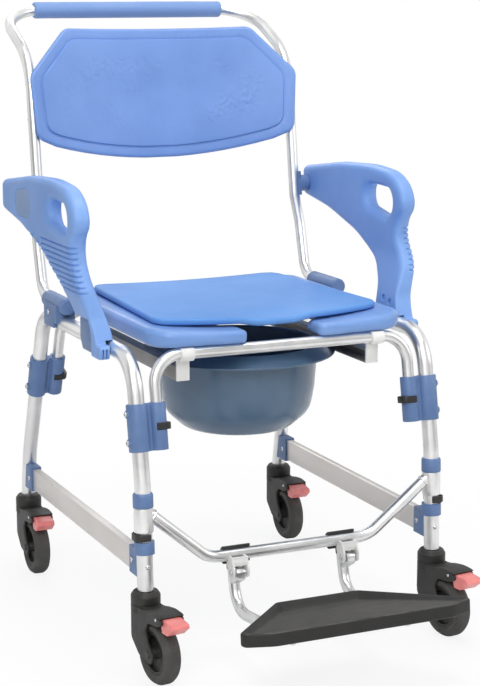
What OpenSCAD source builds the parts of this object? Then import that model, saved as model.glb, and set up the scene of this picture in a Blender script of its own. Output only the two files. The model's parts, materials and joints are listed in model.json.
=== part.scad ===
// Shower commode chair on four swivel casters: bent aluminium tube frame, moulded seat with a
// loose cover, sliding pan, flip-up armrests and footplate. The chair faces -Y and stands on z = 0.
// Left and right are the sitter's: left is +X. Lengths along Y are measured from the front caster stems.

/* [Side frames] */
// Distance between the centre lines of the left and right legs
track_w = 512; // [500:2:560]
// Distance from the front caster stems to the rear caster stems
wheelbase = 592; // [575:1:640]
// Height of the side rails' centre line
rail_h = 497; // [485:1:530]
// Outside diameter of the leg and rail tube
frame_tube_d = 25.4; // [24:0.2:27]
// Outside diameter of the crossbar, footrest and back tubes
bar_tube_d = 19; // [17:0.5:20]
// Wall thickness of the tubes
tube_wall = 1.5; // [1.2:0.1:2]
// Centre-line radius of the bends between legs and rail
rail_bend_r = 65; // [55:1:75]
// Height of the knee in the front leg
front_knee_h = 305; // [300:1:315]
// How far the front knee lies behind the front stems
front_knee_y = 8.5; // [6:0.5:12]
// How far the front leg's top corner lies behind the front stems
front_top_y = 44; // [38:1:50]
// Height of the knee in the rear leg
rear_knee_h = 225; // [220:1:235]
// How far the rear knee lies ahead of the rear stems
rear_knee_lead = 16; // [12:1:20]
// How far the rear leg's top corner lies ahead of the rear stems
rear_top_lead = 118; // [110:1:125]

/* [Crossbars and clamps] */
// Distance from a leg's centre line to the crossbar end in the same clamp
clamp_pitch = 33; // [31:0.5:36]
// Height of a clamp along the leg
clamp_l = 74; // [66:1:80]
// Height of the front clamps' centres
front_clamp_h = 391; // [386:1:398]
// Height of the rear clamps' centres
rear_clamp_h = 376; // [370:1:384]
// Wall of a clamp round its tubes
clamp_wall = 4; // [3:0.25:5]
// Centre-line radius of the crossbars' bends
crossbar_bend_r = 45; // [38:1:50]
// Height of the black lock clips
clip_h = 11; // [9:0.5:13]
// How far a lock clip pulls out
clip_travel = 22; // [18:1:26]

/* [Casters] */
// Diameter of the wheels
wheel_d = 100; // [90:1:104]
// Width of the tyres
wheel_w = 28; // [24:0.5:30]
// How far the axle trails the stem
caster_trail = 45; // [40:1:50]
// Height of the top of the caster collar
collar_h = 137; // [132:1:142]
// Diameter of the caster collar
collar_d = 46; // [42:1:52]
// Turn of each caster at rest: front left, front right, rear left, rear right
caster_turn = [7, 6, -2, -2]; // [-30:1:30]
// Diameter of the swivel spindle
spindle_d = 12; // [10:0.5:14]

/* [Side bars] */
// Height of a side bar's section
side_bar_h = 38; // [32:1:42]
// Thickness of a side bar
side_bar_t = 13; // [11:0.5:15]
// Height of the side bars' centre line
side_bar_z = 178; // [174:1:182]

/* [Seat, cover and pan] */
// Gap between the seat's edges and the side rails
seat_gap = 20.3; // [20:0.1:28]
// Thickness of the seat
seat_t = 31; // [26:1:36]
// Width of the opening at the front of the seat
seat_slot_w = 110; // [90:2:130]
// Width of the seat's round opening
seat_hole_w = 214; // [190:2:236]
// How far the cover's front corners lie inside the seat's edges
cover_front_in = 24; // [18:1:33]
// How far the cover's back corners lie inside the seat's edges
cover_rear_in = 43; // [35:1:53]
// Length of the cover
cover_l = 372; // [340:2:386]
// Thickness of the cover
cover_t = 11; // [8:0.5:14]
// Gap between the pan's rim and the webs of its rails
pan_rim_gap = 11; // [6:0.5:14]
// Width of the pan's flat rim
pan_rim_w = 29; // [20:1:40]
// Depth of the pan
pan_depth = 130; // [110:1:150]
// Wall thickness of the pan
pan_wall = 3; // [2:0.25:4]
// How far the pan lies behind the front stems
pan_y = 222; // [216:1:230]
// Height of the pan rails' section
pan_rail_h = 23; // [18:0.5:26]
// Width of the pan rails' section
pan_rail_w = 21.5; // [20:0.5:24]
// How far the pan rails lie inside the crossbars' ends
pan_rail_in = 44.5; // [44:0.5:50]
// How far the pan rails' undersides lie below the side rails' centre lines
pan_rail_drop = 46; // [44:0.5:52]

/* [Back] */
// How far the back tubes stand inside the legs' centre lines at the panel
back_in = 7; // [6:0.5:11]
// Height of the push handle above the side rails
handle_h = 517; // [503:1:533]
// How far the push handle lies behind the front stems
handle_y = 717; // [700:1:730]
// Gap between the grip's ends and the handle's bends
grip_gap = 3; // [2:0.5:19]
// Diameter of the handle grip
grip_d = 30; // [26:0.5:34]
// Radius of the panel's curve round the sitter's back
panel_curve_r = 650; // [560:5:800]
// Thickness of the panel
panel_t = 12; // [9:0.5:15]
// How far the panel reaches past the back tubes' centre lines
panel_side = 7; // [4:0.5:9]
// Width of the panel's flat rim
panel_rim = 20; // [16:1:24]
// How far the panel's middle stands out from its rim
panel_step = 2.5; // [1.5:0.25:4]

/* [Armrests] */
// Thickness of an armrest
arm_t = 31; // [27:0.5:33]
// How far an armrest stands outside the back tube's centre line
arm_out = 44; // [42:0.5:51]
// How far the foot of an armrest stands outside the rail's centre line
arm_foot_out = 15; // [13.5:0.5:17]
// Diameter of the armrest hinge pins
arm_pin_d = 8; // [6:0.5:9]
// Height of the armrest hinges above the side rails
arm_pivot_h = 200; // [195:1:205]

/* [Footrest] */
// Height of the footrest bar's low stretch
foot_bar_h = 170; // [166:1:176]
// Half the width of the footrest bar's low stretch
foot_bar_half = 143; // [138:1:150]
// Height where the footrest bar meets the leg sleeves
foot_bar_top = 252; // [248:1:256]
// Distance of the footplate arms from the middle
foot_arm_x = 98; // [90:1:104]
// Diameter of the footplate arms
foot_arm_d = 16; // [14:0.5:17]
// Width of the footplate
plate_w = 390; // [370:2:396]
// Thickness of the footplate
plate_t = 21; // [17:0.5:24]
// Upward tilt of the footplate towards its front in degrees
plate_tilt = 6; // [4:0.5:8]

/* [Hidden] */
$fn = 64;
// A straight run reaches this far into the bend beside it, and is this much slimmer all round
lap = 0.6;
slim = 0.2;
// Clearances: parts fixed together, parts that slide, pins that turn, and parts that swing past
fit = 0.05;
slide_gap = 0.4;
pin_gap = 0.08;
swing_gap = 0.6;
over = 1;

half_w = track_w / 2;
back_half = half_w - back_in;
handle_z = rail_h + handle_h;
front_top = [front_top_y, rail_h];
front_knee = [front_knee_y, front_knee_h];
rear_top = [wheelbase - rear_top_lead, rail_h];
rear_knee = [wheelbase - rear_knee_lead, rear_knee_h];
leg_foot_z = collar_h + swing_gap;
frame_r = frame_tube_d / 2;
bar_r = bar_tube_d / 2;
knee_r = 150;

// Lean of each straight stretch of leg, in degrees from upright towards +Y
function lean(a, b) = atan2(b.x - a.x, b.y - a.y);
function along(a, b, z) = a.x + (z - a.y) * (b.x - a.x) / (b.y - a.y);
front_foot = [0, leg_foot_z];
rear_foot = [wheelbase, leg_foot_z];
front_low_lean = lean(front_foot, front_knee);
front_up_lean = lean(front_knee, front_top);
rear_low_lean = lean(rear_foot, rear_knee);
rear_up_lean = lean(rear_knee, rear_top);
function front_low_y(z) = along(front_foot, front_knee, z);
function front_up_y(z) = along(front_knee, front_top, z);
function rear_low_y(z) = along(rear_foot, rear_knee, z);
function rear_up_y(z) = along(rear_knee, rear_top, z);

// Footplate and footrest
foot_bar_y = 15;
plate_back_y = -84;
plate_front_y = -250;
plate_back_z = 96;
foot_pivot = [-5, foot_bar_h - 24];
foot_pin_d = 6;
cheek_t = 3;
cheek_gap = foot_arm_d + 6;
bumper_l = 47;
bumper_t = 5;

// The origin lies under the middle of the chair's outer box
mid_y = (handle_y + grip_d / 2 + plate_front_y) / 2;
module place() {
    translate([0, -mid_y, 0]) children();
}
module both() {
    children();
    mirror([1, 0, 0]) children();
}
module side(s) {
    mirror([s > 0 ? 0 : 1, 0, 0]) children();
}
// A frame at height z on a leg, its Z axis along the leg, on the left side
module on_leg(y, z, tilt) {
    translate([half_w, y, z]) rotate([-tilt, 0, 0]) children();
}
module along_x(x0, x1, d) {
    translate([x0, 0, 0]) rotate([0, 90, 0]) cylinder(d = d, h = x1 - x0);
}
module along_y(y0, y1, d) {
    translate([0, y1, 0]) rotate([90, 0, 0]) cylinder(d = d, h = y1 - y0);
}
// An outline drawn in Y and Z, given a width along X
module plate_yz(x0, x1) {
    translate([x0, 0, 0]) rotate([90, 0, 90]) linear_extrude(height = x1 - x0) children();
}
module block(low, high) {
    translate(low) cube(high - low);
}

// Bent tubes: straight runs and round bends along a list of corners
function unit(v) = v / norm(v);
function heading(p, i) = unit(p[i + 1] - p[i]);
function turn(p, i) = acos(max(-1, min(1, heading(p, i - 1) * heading(p, i))));
function setback(p, r, i) = r[i] * tan(turn(p, i) / 2);
function columns(x, y, z, o) =
    [[x.x, y.x, z.x, o.x], [x.y, y.y, z.y, o.y], [x.z, y.z, z.z, o.z], [0, 0, 0, 1]];
function across(v) = unit(abs(v.z) < 0.9 ? cross(v, [0, 0, 1]) : cross(v, [1, 0, 0]));
module straight(a, b, d) {
    z = unit(b - a);
    x = across(z);
    multmatrix(columns(x, cross(z, x), z, a)) cylinder(d = d, h = norm(b - a));
}
module bend(p, r, i, d) {
    a = heading(p, i - 1);
    b = heading(p, i);
    n = unit(cross(a, b));
    c = p[i] + unit(b - a) * r[i] / cos(turn(p, i) / 2);
    e = unit(p[i] - a * setback(p, r, i) - c);
    multmatrix(columns(e, cross(n, e), n, c))
        rotate_extrude(angle = turn(p, i)) translate([r[i], 0]) circle(d = d);
}
module rod(p, r, d, ends = 0) {
    last = len(p) - 1;
    for (i = [0 : last - 1])
        straight(p[i] + heading(p, i) * (i == 0 ? -ends : setback(p, r, i) - lap),
                 p[i + 1] - heading(p, i) * (i == last - 1 ? -ends : setback(p, r, i + 1) - lap),
                 d - 2 * slim);
    for (i = [1 : last - 1])
        bend(p, r, i, d);
}
module pipe(p, r, d) {
    difference() {
        rod(p, r, d);
        rod(p, r, d - 2 * tube_wall, over);
    }
}

// A polygon whose corners are rounded, each by its own radius
function corner_turn(p, i) =
    let (n = len(p), a = unit(p[i] - p[(i + n - 1) % n]), b = unit(p[(i + 1) % n] - p[i]))
    atan2(a.x * b.y - a.y * b.x, a * b);
function corner_arc(p, r, i) =
    let (n = len(p),
         t = corner_turn(p, i),
         a = unit(p[i] - p[(i + n - 1) % n]),
         start = p[i] - a * r[i] * tan(abs(t) / 2),
         side = t > 0 ? 1 : -1,
         c = start + side * r[i] * [-a.y, a.x],
         steps = max(1, ceil(abs(t) / 9)))
    [for (k = [0 : steps])
        let (w = t * k / steps, v = start - c)
        c + [v.x * cos(w) - v.y * sin(w), v.x * sin(w) + v.y * cos(w)]];
function rounded(p, r) =
    [for (i = [0 : len(p) - 1]) each (r[i] > 0 ? corner_arc(p, r, i) : [p[i]])];
function mirrored(p) = concat(p, [for (i = [len(p) - 1 : -1 : 0]) [-p[i].x, p[i].y]]);
function again(r) = concat(r, [for (i = [len(r) - 1 : -1 : 0]) r[i]]);
module rounded_box(w, h, r) {
    polygon(rounded([[-w / 2, -h / 2], [w / 2, -h / 2], [w / 2, h / 2], [-w / 2, h / 2]], [r, r, r, r]));
}

// Side frames
foot_trim = 4;
button_z = collar_h + 40;
button_d = 8;
foot_clip_z = 223;
clip_pin_d = 5;
stem_top_z = foot_clip_z - 14;
module below_feet() {
    block([-track_w, -track_w, 0], [track_w, wheelbase + track_w, leg_foot_z]);
}
module side_frame(s) {
    low = leg_foot_z - foot_trim;
    path = [[half_w, front_low_y(low), low], [half_w, front_knee.x, front_knee.y],
            [half_w, front_top.x, front_top.y], [half_w, rear_top.x, rear_top.y],
            [half_w, rear_knee.x, rear_knee.y], [half_w, rear_low_y(low), low]];
    hole_d = button_d + 2 * slide_gap;
    color("gainsboro") place() side(s) difference() {
        pipe(path, [0, knee_r, rail_bend_r, rail_bend_r, knee_r, 0], frame_tube_d);
        below_feet();
        translate([half_w, front_low_y(button_z), button_z]) along_y(-frame_tube_d, 0, hole_d);
        translate([half_w, rear_low_y(button_z), button_z]) along_y(0, frame_tube_d, hole_d);
        on_leg(front_low_y(foot_clip_z), foot_clip_z, front_low_lean)
            along_x(0, frame_tube_d, clip_pin_d + 2 * slide_gap);
    }
}

// Crossbars, whose turned-down ends sit in the clamps beside the legs
end_x = half_w - clamp_pitch;
clip_core = bar_r + 1.8;
clip_leg = 6;
module crossbar(top, tilt, clamp_z, y_at) {
    low = clamp_z - clamp_l / 2 * cos(tilt) + 3;
    path = [[end_x, y_at[0], low], [end_x, top.x, top.y], [-end_x, top.x, top.y], [-end_x, y_at[0], low]];
    difference() {
        pipe(path, [0, crossbar_bend_r, crossbar_bend_r, 0], bar_tube_d);
        both() translate([end_x, y_at[1], clamp_z])
            along_x(-bar_tube_d, 0, clip_pin_d + 2 * slide_gap);
    }
}
function ends_at(knee, top, tilt, z) =
    [along(knee, top, z - clamp_l / 2 * cos(tilt) + 3), along(knee, top, z)];
module front_crossbar() {
    color("gainsboro") place() crossbar(front_top, front_up_lean, front_clamp_h,
        ends_at(front_knee, front_top, front_up_lean, front_clamp_h));
}
module rear_crossbar() {
    color("gainsboro") place() crossbar(rear_top, rear_up_lean, rear_clamp_h,
        ends_at(rear_knee, rear_top, rear_up_lean, rear_clamp_h));
}

// Clamps: two bores side by side, a slot for the lock clip and two screw bosses
screw_d = 4;
screw_head_d = 9;
screw_head_h = 2.6;
boss_d = 13;
boss_out = frame_r + clamp_wall + 2;
clamp_screw_z = clamp_l * 0.3;
inner_r = bar_r + clamp_wall + 0.5;
outer_r = frame_r + clamp_wall;
screw_in = 3.5;
screw_gap = 0.3;
module clamp() {
    slot_h = clip_h + 2 * slide_gap;
    difference() {
        union() {
            translate([0, 0, -clamp_l / 2]) cylinder(r = outer_r, h = clamp_l);
            translate([-clamp_pitch, 0, -clamp_l / 2]) cylinder(r = inner_r, h = clamp_l);
            block([-clamp_pitch, -inner_r * 0.72, -clamp_l / 2], [0, inner_r * 0.72, clamp_l / 2]);
            for (z = [-1, 1])
                translate([0, 0, z * clamp_screw_z]) along_x(frame_r, boss_out, boss_d);
        }
        translate([0, 0, -clamp_l / 2 - over]) cylinder(r = frame_r + fit, h = clamp_l + 2 * over);
        translate([-clamp_pitch, 0, -clamp_l / 2 - over]) cylinder(r = bar_r + fit, h = clamp_l + 2 * over);
        for (y = [-1, 1])
            translate([-clamp_pitch - inner_r - over, y > 0 ? clip_core : -clip_core - inner_r, -slot_h / 2])
                cube([inner_r + over + clip_leg + over, inner_r, slot_h]);
        translate([-clamp_pitch, 0, 0]) along_x(-inner_r - over, 0, clip_pin_d + 2 * slide_gap);
        for (z = [-1, 1])
            translate([0, 0, z * clamp_screw_z])
                along_x(boss_out - screw_in - screw_gap, boss_out + over, screw_d + 2 * fit);
    }
}
module at_front_clamp() {
    on_leg(front_up_y(front_clamp_h), front_clamp_h, front_up_lean) children();
}
module at_rear_clamp() {
    on_leg(rear_up_y(rear_clamp_h), rear_clamp_h, rear_up_lean) children();
}
module frame_clamps() {
    color([0.33, 0.47, 0.70]) place() both() {
        at_front_clamp() clamp();
        at_rear_clamp() clamp();
    }
}

// Lock clip of a clamp: a pin with a knob, and two legs in the clamp's slots
module clamp_clip() {
    leg_y = clip_core + slide_gap;
    wide = inner_r + slide_gap;
    h = clip_h / 2;
    knob_x = -wide - h;
    translate([-clamp_pitch, 0, 0]) {
        for (y = [-1, 1])
            block([knob_x, y > 0 ? leg_y : -wide, -h], [clip_leg, y > 0 ? wide : -leg_y, h]);
        translate([knob_x, 0, 0]) along_y(-wide, wide, clip_h);
        along_x(knob_x, -clip_core / 5, clip_pin_d);
    }
}
module lock_clip(s, front) {
    color([0.12, 0.12, 0.13]) place() side(s) {
        if (front)
            at_front_clamp() clamp_clip();
        else
            at_rear_clamp() clamp_clip();
    }
}

// Side bars and their leg brackets
bar_cap_l = 30;
bar_cap_wall = 3;
bracket_screw_in = 11;
ring_h = 20;
ring_r = frame_r + 3.4;
ring_z = foot_clip_z - 7 - slide_gap - ring_h / 2;
bar_front_y = front_low_y(side_bar_z) + frame_r + 8;
bar_rear_y = rear_low_y(side_bar_z) - frame_r - 8;
module side_bars() {
    w = side_bar_t / 2;
    h = side_bar_h / 2;
    hollow = [w - tube_wall, h - tube_wall];
    color("lightgray") place() both() translate([half_w, 0, side_bar_z]) difference() {
        block([-w, bar_front_y, -h], [w, bar_rear_y, h]);
        block([-hollow.x, bar_front_y - over, -hollow.y], [hollow.x, bar_rear_y + over, hollow.y]);
    }
}
module bar_bracket(foot, knee, dir, bar_end, ring) {
    w = side_bar_t / 2 + bar_cap_wall;
    h = side_bar_h / 2 + bar_cap_wall;
    near = along(foot, knee, side_bar_z);
    far = near + dir * (frame_r + bar_cap_l);
    ring_y = along(foot, knee, ring_z);
    screw_y = far - dir * bracket_screw_in;
    difference() {
        union() {
            if (ring)
                on_leg(ring_y, ring_z, lean(foot, knee))
                    translate([0, 0, -ring_h / 2]) cylinder(r = ring_r, h = ring_h);
            block([half_w - w, min(near, far), side_bar_z - h], [half_w + w, max(near, far), side_bar_z + h]);
        }
        on_leg(ring_y, ring_z, lean(foot, knee))
            translate([0, 0, -collar_h]) cylinder(r = frame_r + fit, h = 2 * collar_h);
        block([half_w - side_bar_t / 2 - fit, min(bar_end - dir * fit, far + dir * over),
               side_bar_z - side_bar_h / 2 - fit],
              [half_w + side_bar_t / 2 + fit, max(bar_end - dir * fit, far + dir * over),
               side_bar_z + side_bar_h / 2 + fit]);
        translate([half_w, screw_y, side_bar_z]) along_x(-w - over, w + over, screw_d + 2 * fit);
    }
}
module side_bar_brackets() {
    color([0.36, 0.52, 0.74]) place() both() {
        bar_bracket(front_foot, front_knee, 1, bar_front_y, true);
        bar_bracket(rear_foot, rear_knee, -1, bar_rear_y, false);
    }
}

// Fasteners: a domed head with a hex socket and a shank that points along +X
module screw(length) {
    edge = screw_head_h * 0.55;
    rotate([0, 90, 0]) difference() {
        rotate_extrude() polygon([[0, -screw_head_h], [screw_head_d * 0.31, -screw_head_h],
                                  [screw_head_d / 2, -edge], [screw_head_d / 2, 0], [screw_d / 2, 0],
                                  [screw_d / 2, length], [0, length]]);
        translate([0, 0, -screw_head_h - over]) cylinder(d = screw_head_d / 3, h = edge + over, $fn = 6);
    }
}
module bracket_screws(foot, knee, dir) {
    w = side_bar_t / 2 + bar_cap_wall;
    screw_y = along(foot, knee, side_bar_z) + dir * (frame_r + bar_cap_l - bracket_screw_in);
    for (k = [-1, 1])
        translate([half_w + k * w, screw_y, side_bar_z]) mirror([k > 0 ? 1 : 0, 0, 0])
            screw(bar_cap_wall - fit);
}
module clamp_screws() {
    for (z = [-1, 1])
        translate([boss_out, 0, z * clamp_screw_z]) mirror([1, 0, 0]) screw(screw_in);
}
module frame_screws() {
    color("silver") place() both() {
        at_front_clamp() clamp_screws();
        at_rear_clamp() clamp_screws();
        bracket_screws(front_foot, front_knee, 1);
        bracket_screws(rear_foot, rear_knee, -1);
        socket_screw();
        panel_screws();
    }
}

// Casters. Each is drawn with its swivel axis on Z and its wheel trailing towards -Y
axle_z = wheel_d / 2;
fork_gap = 1.6;
cheek_in = wheel_w / 2 + fork_gap;
fork_cheek_t = 5;
cheek_out = cheek_in + fork_cheek_t;
axle_d = 8;
pedal_pin_d = 5;
pedal_pin = [-caster_trail - 27, axle_z + 64];
stem_d = frame_tube_d - 2 * (tube_wall + slim + fit);
spindle_low = axle_z + wheel_d / 2 + 8;
module at_caster(n) {
    front = n < 2;
    left = n % 2 == 0;
    place() translate([left ? half_w : -half_w, front ? 0 : wheelbase, 0]) rotate(caster_turn[n]) children();
}
module caster_fork(n) {
    top = collar_h - 5;
    hood_z = axle_z + wheel_d / 2 + 5;
    r = collar_d / 2;
    t = -caster_trail;
    cheek = [[r - 1, top - 8], [r - 1, hood_z - 8], [8, 60], [-18, 38], [t - 9, 34], [t - 16, 50],
             [t + 4, 70], [t + 12, 88], [t + 2, hood_z - 4], [t - 32, hood_z - 2], [t - 46, hood_z + 5],
             [t - 42, hood_z + 17], [t - 24, hood_z + 20], [-r, top - 8]];
    rounding = [0, 6, 12, 10, 10, 11, 10, 12, 8, 6, 5, 6, 10, 0];
    color([0.16, 0.16, 0.17]) at_caster(n) difference() {
        union() {
            translate([0, 0, hood_z]) cylinder(d = collar_d, h = top - hood_z);
            translate([0, 0, top]) cylinder(d1 = collar_d, d2 = collar_d - 8, h = collar_h - top);
            for (k = [-1, 1])
                plate_yz(k > 0 ? cheek_in : -cheek_out, k > 0 ? cheek_out : -cheek_in)
                    polygon(rounded(cheek, rounding));
            plate_yz(-cheek_in - over, cheek_in + over)
                polygon([[r - 4, top - 8], [r - 4, hood_z], [t + 10, hood_z + 4], [t - 12, hood_z + 16],
                         [t - 24, hood_z + 16.5], [t - 41, hood_z + 13.7], [t - 42, hood_z + 16.8],
                         [t - 24, hood_z + 19.8], [-r, top - 8]]);
        }
        translate([0, 0, hood_z + (top - hood_z) * 0.45]) rotate_extrude()
            translate([collar_d / 2, 0]) circle(d = 2.4, $fn = 24);
        translate([0, 0, hood_z - over]) cylinder(d = spindle_d + 2 * pin_gap, h = collar_h);
        translate([0, t, axle_z]) along_x(-cheek_out - over, cheek_out + over, axle_d + 2 * fit);
        translate([0, pedal_pin.x, pedal_pin.y])
            along_x(-cheek_out - over, cheek_out + over, pedal_pin_d + 2 * fit);
    }
}
hub_r = wheel_d * 0.34;
bead = 5;
bead_in = 3;
module at_axle(n) {
    at_caster(n) translate([0, -caster_trail, axle_z]) children();
}
module caster_tyre(n) {
    half = wheel_w / 2;
    r = wheel_d / 2;
    color([0.30, 0.30, 0.30]) at_axle(n) rotate([0, 90, 0]) rotate_extrude()
        polygon(rounded([[hub_r + fit, bead_in - half], [hub_r + bead, -half], [r - bead, -half],
                         [r, -half / 2], [r, half / 2], [r - bead, half], [hub_r + bead, half],
                         [hub_r + fit, half - bead_in]],
                        [0, 2, 5, 6, 6, 5, 2, 0]));
}
module caster_hub(n) {
    half = wheel_w / 2 - bead_in;
    web = 4;
    inner = hub_r - bead;
    boss = axle_d / 2 + bead;
    bore = axle_d / 2 + pin_gap;
    boss_half = wheel_w / 2 + 1;
    color([0.22, 0.22, 0.22]) at_axle(n) rotate([0, 90, 0]) rotate_extrude()
        polygon([[bore, -boss_half], [boss, -boss_half], [boss, -web], [inner, -web], [inner, -half],
                 [hub_r, -half], [hub_r, half], [inner, half], [inner, web], [boss, web], [boss, boss_half],
                 [bore, boss_half]]);
}
module caster_axle(n) {
    head = 3;
    color("silver") {
        at_axle(n) {
            along_x(-cheek_out - head / 2, cheek_out + head / 2, axle_d);
            both() along_x(cheek_out, cheek_out + head, axle_d + 5);
        }
        at_caster(n) translate([0, pedal_pin.x, pedal_pin.y])
            along_x(-cheek_out - 1, cheek_out + 1, pedal_pin_d);
    }
}
module brake_pedal(n) {
    w = cheek_in - slide_gap;
    reach = 44;
    pad = [[8, 3], [6, -6], [-6, -9], [-10, -19], [-26, -19], [-reach, -5], [-reach + 3, 1], [-16, 3.5]];
    color([0.94, 0.52, 0.52]) at_caster(n) translate([0, pedal_pin.x, pedal_pin.y]) difference() {
        plate_yz(-w, w) polygon(rounded(pad, [4, 3, 3, 3, 4, 3, 3, 4]));
        along_x(-w - over, w + over, pedal_pin_d + 2 * pin_gap);
    }
}

// Stems: a plug in the leg with a spindle below, and a cross hole for the snap button
module leg_line(n) {
    front = n < 2;
    tilt = front ? front_low_lean : rear_low_lean;
    translate([n % 2 == 0 ? half_w : -half_w, front ? 0 : wheelbase, leg_foot_z])
        rotate([-tilt, 0, 0]) children();
}
module caster_stems() {
    flange = 2;
    color("dimgray") place() for (n = [0 : 3]) {
        front = n < 2;
        x = n % 2 == 0 ? half_w : -half_w;
        difference() {
            leg_line(n) translate([0, 0, -foot_trim])
                cylinder(d = stem_d, h = stem_top_z - leg_foot_z + foot_trim);
            below_feet();
            translate([x, front ? front_low_y(button_z) : rear_low_y(button_z), button_z])
                along_y(front ? -frame_tube_d : -button_back, front ? button_back : frame_tube_d,
                        button_d + 2 * slide_gap);
        }
        translate([x, front ? 0 : wheelbase, spindle_low])
            cylinder(d = spindle_d, h = leg_foot_z - spindle_low + flange);
    }
}
button_back = 4;
button_travel = 3.2;
module stem_button(n) {
    front = n < 2;
    y = front ? front_low_y(button_z) : rear_low_y(button_z);
    out = frame_r + 2.4;
    color("silver") place() translate([n % 2 == 0 ? half_w : -half_w, y, button_z])
        mirror([0, front ? 0 : 1, 0]) {
            along_y(-out + 2, -button_back + button_travel + slide_gap, button_d);
            translate([0, -out + 2, 0]) rotate([90, 0, 0]) cylinder(d1 = button_d, d2 = button_d - 4, h = 2);
        }
}

// Footrest bar, hung from two sleeves on the front legs
sleeve_z = 249.5;
sleeve_h = 39;
sleeve_r = frame_r + 2.5;
foot_bend_r = 50;
module on_front_leg(z) {
    on_leg(front_low_y(z), z, front_low_lean) children();
}
module leg_bore() {
    translate([0, 0, -collar_h]) cylinder(r = frame_r + fit, h = 2 * collar_h);
}
module footrest_bar() {
    top_y = front_low_y(foot_bar_top);
    path = [[half_w, top_y, foot_bar_top], [foot_bar_half, foot_bar_y, foot_bar_h],
            [-foot_bar_half, foot_bar_y, foot_bar_h], [-half_w, top_y, foot_bar_top]];
    bends = [0, foot_bend_r, foot_bend_r, 0];
    color("gainsboro") place() difference() {
        union() {
            rod(path, bends, bar_tube_d);
            both() on_front_leg(sleeve_z)
                translate([0, 0, -sleeve_h / 2]) cylinder(r = sleeve_r, h = sleeve_h);
        }
        rod(path, bends, bar_tube_d - 2 * tube_wall, over);
        both() on_front_leg(sleeve_z) leg_bore();
    }
}
ring_top = 292;
module footrest_collars() {
    low = sleeve_z + sleeve_h / 2 + slide_gap;
    color([0.36, 0.52, 0.74]) place() both() on_front_leg(low) difference() {
        rotate_extrude() polygon([[0, 0], [frame_r + 3.4, 0], [frame_r + 3.4, ring_top - low - 3],
                                  [frame_r + 1.8, ring_top - low], [0, ring_top - low]]);
        leg_bore();
    }
}
// Clip under a footrest sleeve: a pin through the leg's outer wall and two prongs past the leg
module footrest_clip(s) {
    h = clip_h / 2;
    prong = frame_r + slide_gap;
    wide = prong + 3.5;
    color([0.12, 0.12, 0.13]) place() side(s) on_front_leg(foot_clip_z) {
        for (y = [-1, 1])
            block([-clip_leg, y > 0 ? prong : -wide, -h], [prong + h, y > 0 ? wide : -prong, h]);
        translate([prong + h, 0, 0]) along_y(-wide, wide, clip_h);
        along_x(frame_r - 2 * tube_wall, prong + h, clip_pin_d);
    }
}

// Footplate hinge: brackets on the front of the bar, bumpers on its back
ear_r = 9;
module at_foot_arms() {
    both() translate([foot_arm_x, 0, 0]) children();
}
module footplate_brackets() {
    ear = foot_pivot;
    bar = [foot_bar_y, foot_bar_h];
    cheek = [[bar.x, bar.y + bar_r + 3], [bar.x - 14, bar.y + bar_r + 3], [ear.x - ear_r, ear.y + ear_r],
             [ear.x - ear_r, ear.y - ear_r], [ear.x + ear_r, ear.y - ear_r], [bar.x, bar.y - bar_r - 3]];
    color("whitesmoke") place() at_foot_arms() difference() {
        union() {
            for (k = [-1, 1])
                translate([k * (cheek_gap + cheek_t) / 2, 0, 0]) plate_yz(-cheek_t / 2, cheek_t / 2)
                    polygon(rounded(cheek, [0, 8, 6, 8, 8, 0]));
            block([-cheek_gap / 2 - over, ear.x - cheek_t, ear.y + ear_r + 2],
                  [cheek_gap / 2 + over, ear.x + 2, bar.y + 6]);
        }
        translate([0, bar.x, bar.y]) along_x(-cheek_gap, cheek_gap, bar_tube_d + 2 * fit);
        translate([0, ear.x, ear.y]) along_x(-cheek_gap, cheek_gap, foot_pin_d + 2 * fit);
    }
}
module footplate_bumpers() {
    color([0.15, 0.15, 0.15]) place() at_foot_arms() translate([-4, foot_bar_y, foot_bar_h]) difference() {
        along_x(-bumper_l / 2, bumper_l / 2, bar_tube_d + 2 * bumper_t);
        along_x(-bumper_l, bumper_l, bar_tube_d + 2 * fit);
        block([-bumper_l, -bar_tube_d * 2, -bar_tube_d * 2], [bumper_l, fit, bar_tube_d * 2]);
    }
}

// Footplate on its two arms
plate_l = (plate_back_y - plate_front_y) / cos(plate_tilt);
plate_side_l = plate_l - 26;
plate_back_w = 144;
arm_elbow_y = 4;
arm_elbow_r = 42;
arm_end_y = -200;
arm_top = [foot_pivot.x + 28.2, foot_pivot.y + 7];
function under_plate(y) =
    plate_back_z - (foot_arm_d / 2 + fit) / cos(plate_tilt) + (plate_back_y - y) * tan(plate_tilt);
module footplate_arms() {
    path = [[0, arm_top.x, arm_top.y], [0, arm_elbow_y, under_plate(arm_elbow_y)],
            [0, arm_end_y, under_plate(arm_end_y)]];
    lug_w = foot_arm_d * 0.9;
    lug = [[foot_pivot.x - 8, foot_pivot.y + 8], [foot_pivot.x - 8, foot_pivot.y - 10],
           [arm_top.x - 10, arm_top.y - 32], [arm_top.x - 3, arm_top.y - 3]];
    color("gainsboro") place() at_foot_arms() difference() {
        union() {
            rod(path, [0, arm_elbow_r, 0], foot_arm_d);
            plate_yz(-lug_w / 2, lug_w / 2) polygon(rounded(lug, [7.5, 8, 4, 1]));
        }
        translate([0, foot_pivot.x, foot_pivot.y]) along_x(-foot_arm_d, foot_arm_d, foot_pin_d + 2 * pin_gap);
    }
}
plate_slope = (plate_w - plate_back_w) / 2 / plate_side_l;
plate_secant = sqrt(1 + plate_slope * plate_slope);
function plate_corners(d) =
    [[plate_back_w / 2 + d * (plate_slope - plate_secant), -d],
     [plate_w / 2 - d, -plate_side_l - d * (plate_secant - 1) / plate_slope],
     [plate_w / 2 - d, d - plate_l]];
module plate_outline(d) {
    polygon(rounded(mirrored(plate_corners(d)), again([14 - d, 14 - d, 20 - d])));
}
plate_rim = 12;
plate_recess = 3;
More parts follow.
